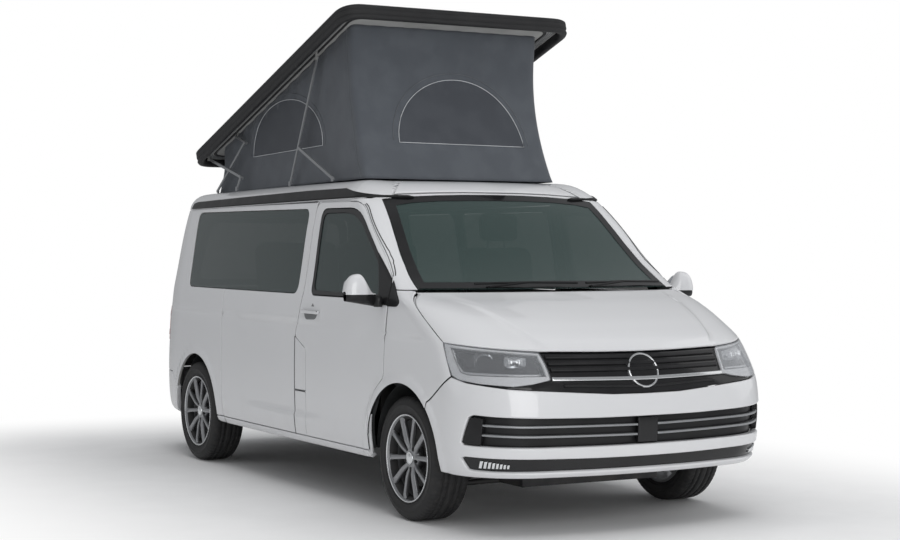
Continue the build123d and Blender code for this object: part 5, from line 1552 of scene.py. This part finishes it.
tent, tent_area, tent_round = put_tent()
tent_pieces = []
for name, surface, ends, top, outer in (
        ("front", tent_front, ((-0.381, 2.061), (0.497, 2.055)), 2.457, ((-0.417, 2.075), (0.530, 2.060))),
        ("right", tent_side, ((-3.613, 2.031), (-2.535, 2.059)), 2.372, ((-3.655, 2.035), (-2.500, 2.062))),
        ("left", tent_side, ((2.535, 2.059), (3.613, 2.031)), 2.372, ((2.500, 2.062), (3.655, 2.035)))):
    arch = d_shape(ends, top)
    window = panel("tent_window_" + name, surface, [arch], "tent_window", sink=-0.0022, thick=0.0015, shut=0,
                   round_edge=0.0004)
    sill = np.linspace(arch[-1], arch[0], 24)[1:-1]
    at = np.vstack([arch, sill])
    lift = surface(at[:, 0], at[:, 1]) + 0.0030 * slopes(surface, at)
    first = tube("tent_piping_" + name, lift, 0.0021, "piping", closed=True, steps=6)
    over = d_shape(outer, top + 0.038)
    lift = surface(over[:, 0], over[:, 1]) + 0.0022 * slopes(surface, over)
    second = tube("tent_flap_" + name, lift, 0.0016, "piping_dark", steps=6)
    tent_pieces += [window, first, second]
for side, word in SIDES:
    up = np.linspace(0.01, 0.99, 40)
    seam = tent_point(side * (1 + 0 * up), 0.028 + 0 * up, up)
    tent_pieces.append(tube("tent_seam_" + word, seam + (side * 0.002, 0, 0), 0.0016, "piping_dark", steps=6))
# The width told here is 1.45 times the band's mean height, so it is less than the height of the front wall.
for soft in [tent] + tent_pieces:
    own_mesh(soft)
print("tent pitched")

# %% Pop-up roof
roof_half = 0.782
roof_front = 1.777
roof_rear = 4.298
roof_corner = 0.130
roof_top = 1.9367
rib_high = 0.006
rib_place = 0.36


def roof_ring(inset, level):
    """A rounded rectangle of the shut roof, drawn in by inset, as points at one level."""
    half, front, rear = roof_half - inset, roof_front + inset, roof_rear - inset
    turn = max(roof_corner - inset / 2, 0.012)
    outline = rounded([(-half, front), (half, front), (half, rear), (-half, rear)], turn, 9)
    points = []
    per_corner = len(outline) // 4
    for k, (start, end) in enumerate(zip(outline, np.roll(outline, -1, 0))):
        count = 30 if k % per_corner == per_corner - 1 else 1
        points += [start + (end - start) * k / count for k in range(count)]
    points = np.array(points)
    return np.column_stack([points[:, 0], points[:, 1] - length / 2, np.full(len(points), level)])


def ringed(name, profile, look, closed=False, capped=False):
    """Rings of the roof joined into a surface and raised."""
    rings = np.array([roof_ring(*p) for p in profile])
    if capped:
        rib = rib_high * np.exp(-((np.abs(rings[..., 0]) - rib_place) / 0.035) ** 4) * (rings[..., 2] > 1.925)
        rings[..., 2] += rib * smooth(1.925, 1.936, rings[..., 2])
    faces = [tuple(f) for f in grid_faces(len(rings), rings.shape[1], wrap_rows=closed, wrap_columns=True)]
    if capped:
        faces.append(tuple(range((len(rings) - 1) * rings.shape[1], len(rings) * rings.shape[1])))
    return piece(name, raised(rings).reshape(-1, 3), faces, look, "pop_roof_body")


crown = [(0.012 + 0.158 * t, 1.880 + 0.0565 * math.sin(t * math.pi / 2)) for t in np.linspace(0.1, 1, 12)]
ringed("pop_skin", [(0.006, 1.8445), (0.0, 1.8455), (-0.002, 1.849), (-0.002, 1.868), (0.0015, 1.875),
                    (0.007, 1.879)] + crown + [(inset, roof_top) for inset in np.linspace(0.22, 0.778, 16)],
       "paint", capped=True)
ringed("pop_seal", [(0.004, 1.871), (-0.004, 1.8725), (-0.009, 1.867), (-0.009, 1.852), (-0.004, 1.847),
                    (-0.009, 1.842), (-0.009, 1.834), (-0.006, 1.824), (0.001, 1.818), (-0.004, 1.812),
                    (-0.007, 1.802), (-0.002, 1.792), (0.008, 1.788), (0.022, 1.789), (0.031, 1.795),
                    (0.035, 1.806), (0.036, 1.836), (0.033, 1.8425), (0.006, 1.8425)][::-1], "rubber",
       closed=True)
ringed("pop_lip", [(0.094, 1.8375), (0.094, 1.834), (0.098, 1.8315), (0.108, 1.8315), (0.112, 1.834),
                   (0.112, 1.8375)], "rubber")
for number, inset in enumerate((0.050, 0.064, 0.078)):
    ringed(f"pop_rib_{number}", [(inset, 1.8378), (inset + 0.002, 1.8345), (inset + 0.006, 1.8345),
                                 (inset + 0.008, 1.8378)], "lining_grey")
print("roof raised")

# %% [markdown]
# A wheel is a tyre with grooves, sipes and ribs on its wall, a rim barrel with a thin bright lip, ten spokes
# that run in pairs from the hub and stand evenly at the rim, a plain cap, five bolts and a brake disc behind.

# %% Wheels
hub_out = 0.812


def put_tyre(name, centre, side, body):
    """The tyre's skin: one profile turned about the axle, its shoulder cut into blocks as it goes round."""
    half = [(0.206, 0.080), (0.226, 0.094), (0.2335, 0.0985), (0.238, 0.0985), (0.244, 0.103),
            (0.2465, 0.1065), (0.249, 0.1045), (0.262, 0.1085), (0.277, 0.1105), (0.2785, 0.1118),
            (0.283, 0.1118), (0.2845, 0.1105), (0.297, 0.108), (0.309, 0.103), (0.3185, 0.0965),
            (0.3245, 0.089), (0.3275, 0.0825), (0.3284, 0.074), (0.3288, 0.067), (0.3290, 0.0605),
            (0.3215, 0.0590), (0.3215, 0.0510), (0.3292, 0.0495), (0.3296, 0.040), (0.3298, 0.0275),
            (0.3220, 0.0260), (0.3220, 0.0180), (0.3298, 0.0165), (0.3300, 0.006)]
    profile = np.array(half + [(r, -a) for r, a in half[::-1]])
    steps = 288
    angle = np.linspace(0, 2 * math.pi, steps, endpoint=False)[:, None]
    phase = np.arange(steps)[:, None] % 4
    radius = np.tile(profile[:, 0], (steps, 1))
    along = np.tile(profile[:, 1], (steps, 1))
    shoulder = (np.abs(profile[:, 1]) > 0.0620) & (profile[:, 0] > 0.3180)
    radius -= 0.0045 * (phase == 0) * shoulder
    middle = (np.abs(profile[:, 1]) < 0.0500) & (np.abs(profile[:, 1]) > 0.0270) & (profile[:, 0] > 0.3280)
    radius -= 0.0030 * (phase == 2) * middle
    points = np.stack([side * along, radius * np.cos(angle), radius * np.sin(angle)], -1) + np.array(centre)
    faces = grid_faces(steps, len(profile), wrap_rows=True, wrap_columns=True)
    if side > 0:
        faces = faces[:, ::-1]
    return piece(name, points.reshape(-1, 3), faces[:, ::-1], "tyre", body)


def put_spokes(name, centre, side, body):
    """Ten spokes as one piece. Each is a tapering bar with a sloping face, closed at both ends."""
    section = np.array([(-1.0, -0.4), (-0.88, 0.25), (-0.62, 0.62), (0.05, 0.86), (0.66, 1.0), (0.9, 0.78),
                        (1.0, 0.2), (0.96, -0.6), (0.6, -1.4), (-0.6, -1.4)])
    t = np.linspace(0, 1, 18)
    points, faces = [], []
    for number in range(5):
        for hand in (-1, 1):
            middle = number * 360 / bolt_count + 4
            near = math.radians(middle + hand * 11)
            far = math.radians(middle + hand * 18)
            start = 0.040 * np.array([math.sin(near), math.cos(near)])
            end = 0.2215 * np.array([math.sin(far), math.cos(far)])
            path = start + (end - start) * t[:, None]
            ahead = unit(end - start)
            aside = np.array([ahead[1], -ahead[0]]) * hand
            wide = 0.0115 + 0.0040 * t + 0.007 * np.maximum(t - 0.86, 0) / 0.14
            face = 0.0815 + 0.012 * smooth(0.0, 0.35, t) + 0.003 * t - 0.004 * smooth(0.9, 1.0, t)
            thick = 0.011 + 0.004 * (1 - t)
            ring = path[:, None] + (wide[:, None] * section[:, 0])[..., None] * aside
            out = face[:, None] + thick[:, None] * (section[:, 1] - 1.0)
            block = np.stack([side * out, ring[..., 0], ring[..., 1]], -1)
            first = sum(len(p) for p in points)
            points.append(block.reshape(-1, 3))
            quads = grid_faces(len(t), len(section), wrap_columns=True, start=first)
            ends = [tuple(range(first, first + len(section))),
                    tuple(range(first + len(t) * len(section) - 1, first + (len(t) - 1) * len(section) - 1,
                                -1))]
            group = [tuple(q) for q in quads] + ends
            faces += group if hand * side > 0 else [f[::-1] for f in group]
    return piece(name, np.vstack(points) + np.array(centre), faces, "alloy", body)


BARREL = [(0.2060, -0.094), (0.2280, -0.098), (0.2300, -0.094), (0.2120, -0.080), (0.2080, 0.0),
          (0.2100, 0.060), (0.2220, 0.078), (0.2250, 0.092), (0.2320, 0.098), (0.2345, 0.1010),
          (0.2325, 0.1035), (0.2275, 0.1025), (0.2230, 0.098), (0.2195, 0.086), (0.2080, 0.066),
          (0.2030, 0.020), (0.2040, -0.070), (0.2060, -0.094)]
LIP = [(0.2316, 0.1018), (0.2330, 0.1046), (0.2300, 0.1056), (0.2262, 0.1046), (0.2252, 0.1018)]
HUB = [(0.0005, 0.030), (0.066, 0.030), (0.068, 0.060), (0.062, 0.074), (0.050, 0.081), (0.036, 0.084),
       (0.0335, 0.080), (0.0005, 0.080)]
CAP = [(0.0335, 0.078), (0.0335, 0.0865), (0.0315, 0.0885), (0.0290, 0.0870), (0.0255, 0.0872),
       (0.0150, 0.0892), (0.0005, 0.0900)]
BOLT = [(0.0100, 0.070), (0.0100, 0.0825), (0.0085, 0.0845), (0.0005, 0.0845)]
DISC = [(0.060, 0.006), (0.150, 0.006), (0.152, 0.008), (0.152, 0.028), (0.150, 0.030), (0.060, 0.030)]
bolt_count = 5
bolt_circle = 0.0545
bolt_start = 40

for place, row_word in ((front_axle, "front"), (rear_axle, "rear")):
    for side, word in SIDES:
        body = f"wheel_{row_word}_{word}"
        tag = f"{row_word}_{word}"
        centre = (side * hub_out, place - length / 2, hub_height)
        put_tyre("tyre_skin_" + tag, centre, side, body)
        put_spokes("spokes_" + tag, centre, side, body)
        out = (side, 0, 0)
        for name, profile, look, steps in (("barrel_", BARREL, "alloy", 96), ("lip_", LIP, "bright", 96),
                                           ("hub_", HUB, "alloy", 48), ("cap_", CAP, "bright", 48)):
            lathe(name + tag, centre, out, profile, look, body, steps=steps)
        for k in range(bolt_count):
            turn = math.radians(bolt_start + 360 / bolt_count * k)
            bolt = np.array(centre) + bolt_circle * np.array([0, math.sin(turn), math.cos(turn)])
            lathe(f"bolt_{tag}_{k}", bolt, out, BOLT, "black_trim", body, steps=6)
        lathe("disc_" + tag, centre, out, DISC, "steel", body, steps=72)
print("wheels on")

# %% [markdown]
# The cabin's soft goods are padded: each is a crowned closed form whose sides pull in between its corners,
# with sewn channels across it. The seats' parts lean as the CAD seats do. Everything else in the cabin keeps
# its CAD shape.

# %% Seats and bench
def cushion(name, centre, size, lean=0.0, channels=(), square=(0.36, 0.24), look="seat_fabric"):
    """A pad: a soft box leaning back by lean degrees, with grooves sewn across at channels (-1 to 1)."""
    around_it, up = np.meshgrid(np.linspace(0, 2 * math.pi, 96, endpoint=False),
                                np.linspace(-math.pi / 2, math.pi / 2, 49), indexing="ij")

    def power(value, exponent):
        return np.sign(value) * np.abs(value) ** exponent

    ring = power(np.cos(up), square[0])
    x = ring * power(np.cos(around_it), square[1])
    along = ring * power(np.sin(around_it), square[1])
    z = power(np.sin(up), square[0])
    pull = 1 - 0.035 * np.cos(x * math.pi / 2) ** 2 - 0.035 * np.cos(along * math.pi / 2) ** 2
    crown = 1 + 0.10 * np.cos(x * math.pi / 2) * np.cos(along * math.pi / 2)
    groove = sum(np.exp(-((along - c) / 0.030) ** 2) for c in channels) if channels else 0 * x
    side_line = np.exp(-((np.abs(x) - 0.66) / 0.030) ** 2)
    z = z * crown * (1 - 0.055 * (groove + side_line) * (np.abs(z) > 0.4))
    points = np.stack([x * pull * size[0] / 2, along * pull * size[1] / 2, z * size[2] / 2 / 1.1], -1)
    turn = math.radians(lean)
    cos, sin = math.cos(turn), math.sin(turn)
    points = np.stack([points[..., 0], points[..., 1] * cos - points[..., 2] * sin,
                       points[..., 1] * sin + points[..., 2] * cos], -1)
    points = points + np.array([centre[0], centre[1] - length / 2, centre[2]])
    faces = grid_faces(96, 49, wrap_rows=True)
    made = piece(name, points.reshape(-1, 3), faces[:, ::-1], look)
    seam = points[:, 24] + 0.0015 * unit(points[:, 24] - np.array([centre[0], centre[1] - length / 2,
                                                                   centre[2]]))
    tube(name + "_seam", seam[::2], 0.0022, "piping_dark", closed=True, steps=6)
    return made


for side, word in SIDES:
    middle = side * 0.410
    cushion("seat_cushion_" + word, (middle, 1.845, 0.770), (0.490, 0.460, 0.150), -3, (-0.3, 0.15))
    cushion("seat_back_" + word, (middle, 2.172, 1.130), (0.480, 0.620, 0.126), 81.5, (-0.45, 0.0, 0.45))
    cushion("seat_head_" + word, (middle, 2.188, 1.562), (0.262, 0.176, 0.090), 84, (), (0.5, 0.4))
    for post in (-0.062, 0.062):
        tube(f"seat_post_{word}_{post > 0}", [(middle + post, 2.214 - length / 2, z)
                                              for z in (1.40, 1.46, 1.52)], 0.0062, "link_metal")
for number, middle in enumerate((-0.177, 0.448)):
    cushion(f"bench_cushion_{number}", (middle, 3.545, 0.786), (0.615, 0.470, 0.124), -3, (-0.3, 0.2))
    cushion(f"bench_back_{number}", (middle, 3.885, 1.170), (0.615, 0.600, 0.122), 80, (-0.4, 0.1))
print("seats padded")

# %% [markdown]
# The last step hides the CAD shapes that each new piece stands for, and gives a finish to the CAD shapes
# that stay in sight. It prints the names of the shown CAD shapes that are left without one.

# %% Nodes and finishes
STANDS_FOR = { "front_wing_right": ["front_wings"], "door_skin_right": ["door_right"],
              "door_skin_left": ["door_left"], "fixed_panel_right": ["side_wall_right"],
              "quarter_left": ["side_wall_left"], "sliding_door_left": ["sliding_door"],
              "screen_frame_skin": ["screen_frame"], "bumper_skin": ["front_bumper"],
              "low_slat": ["bumper_grille"], "slat_0": ["front_grille"], "lamp_surround_right": ["headlamps"],
              "bonnet_skin": ["bonnet"], "screen_pane": ["windscreen"], "side_pane_right": ["side_glass"],
              "door_pane_right": ["door_glass_right"], "door_pane_left": ["door_glass_left"],
              "rear_bumper_skin": ["rear_bumper"], "roof_skin": ["roof_panel"],
              "awning_right": ["awning_rails"], "gate_skin": ["tailgate"], "gate_glass": ["tailgate_glass"],
              "tail_lamp_right": ["tail_lamps"], "tent_sheet": ["tent"], "mirror_cap_right": ["mirror_right"],
              "mirror_cap_left": ["mirror_left"], "pop_seal": ["pop_roof_rim"],
              "seat_cushion_right": ["front_seats"], "bench_cushion_0": ["rear_bench"], }
for row_word in ("front", "rear"):
    for word in ("right", "left"):
        STANDS_FOR[f"tyre_skin_{row_word}_{word}"] = [f"tyre_{row_word}_{word}"]
        STANDS_FOR[f"barrel_{row_word}_{word}"] = [f"rim_{row_word}_{word}"]
for name, stood_for in STANDS_FOR.items():
    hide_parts(*stood_for)
KEPT = { "steel": ["floor_pan", "engine_block", "exhaust", "front_subframe", "rear_arms", "knuckle_right",
                   "knuckle_left"], "cabin_plastic": ["dashboard", "steering_wheel", "seat_bases",
                                                      "fuel_tank", "wheel_arches"],
        "cabinet": ["kitchen_unit"], "black_trim": ["wipers"], "pale_lining": ["pop_roof"],
        "link_metal": ["deck_brackets", "roof_strut", "roof_brace", "lower_link", "upper_link",
                       "upper_short_link", "lower_short_link"], }
for look, names in KEPT.items():
    for name in names:
        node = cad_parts[name]
        node.data.materials.clear()
        node.data.materials.append(finishes[look])
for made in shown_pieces():
    look = made.data.materials[0].name if made.data.materials else ""
left_plain = [name for name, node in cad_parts.items()
              if not node.hide_render and name not in sum(KEPT.values(), [])]
print("nodes without a finish:", left_plain)
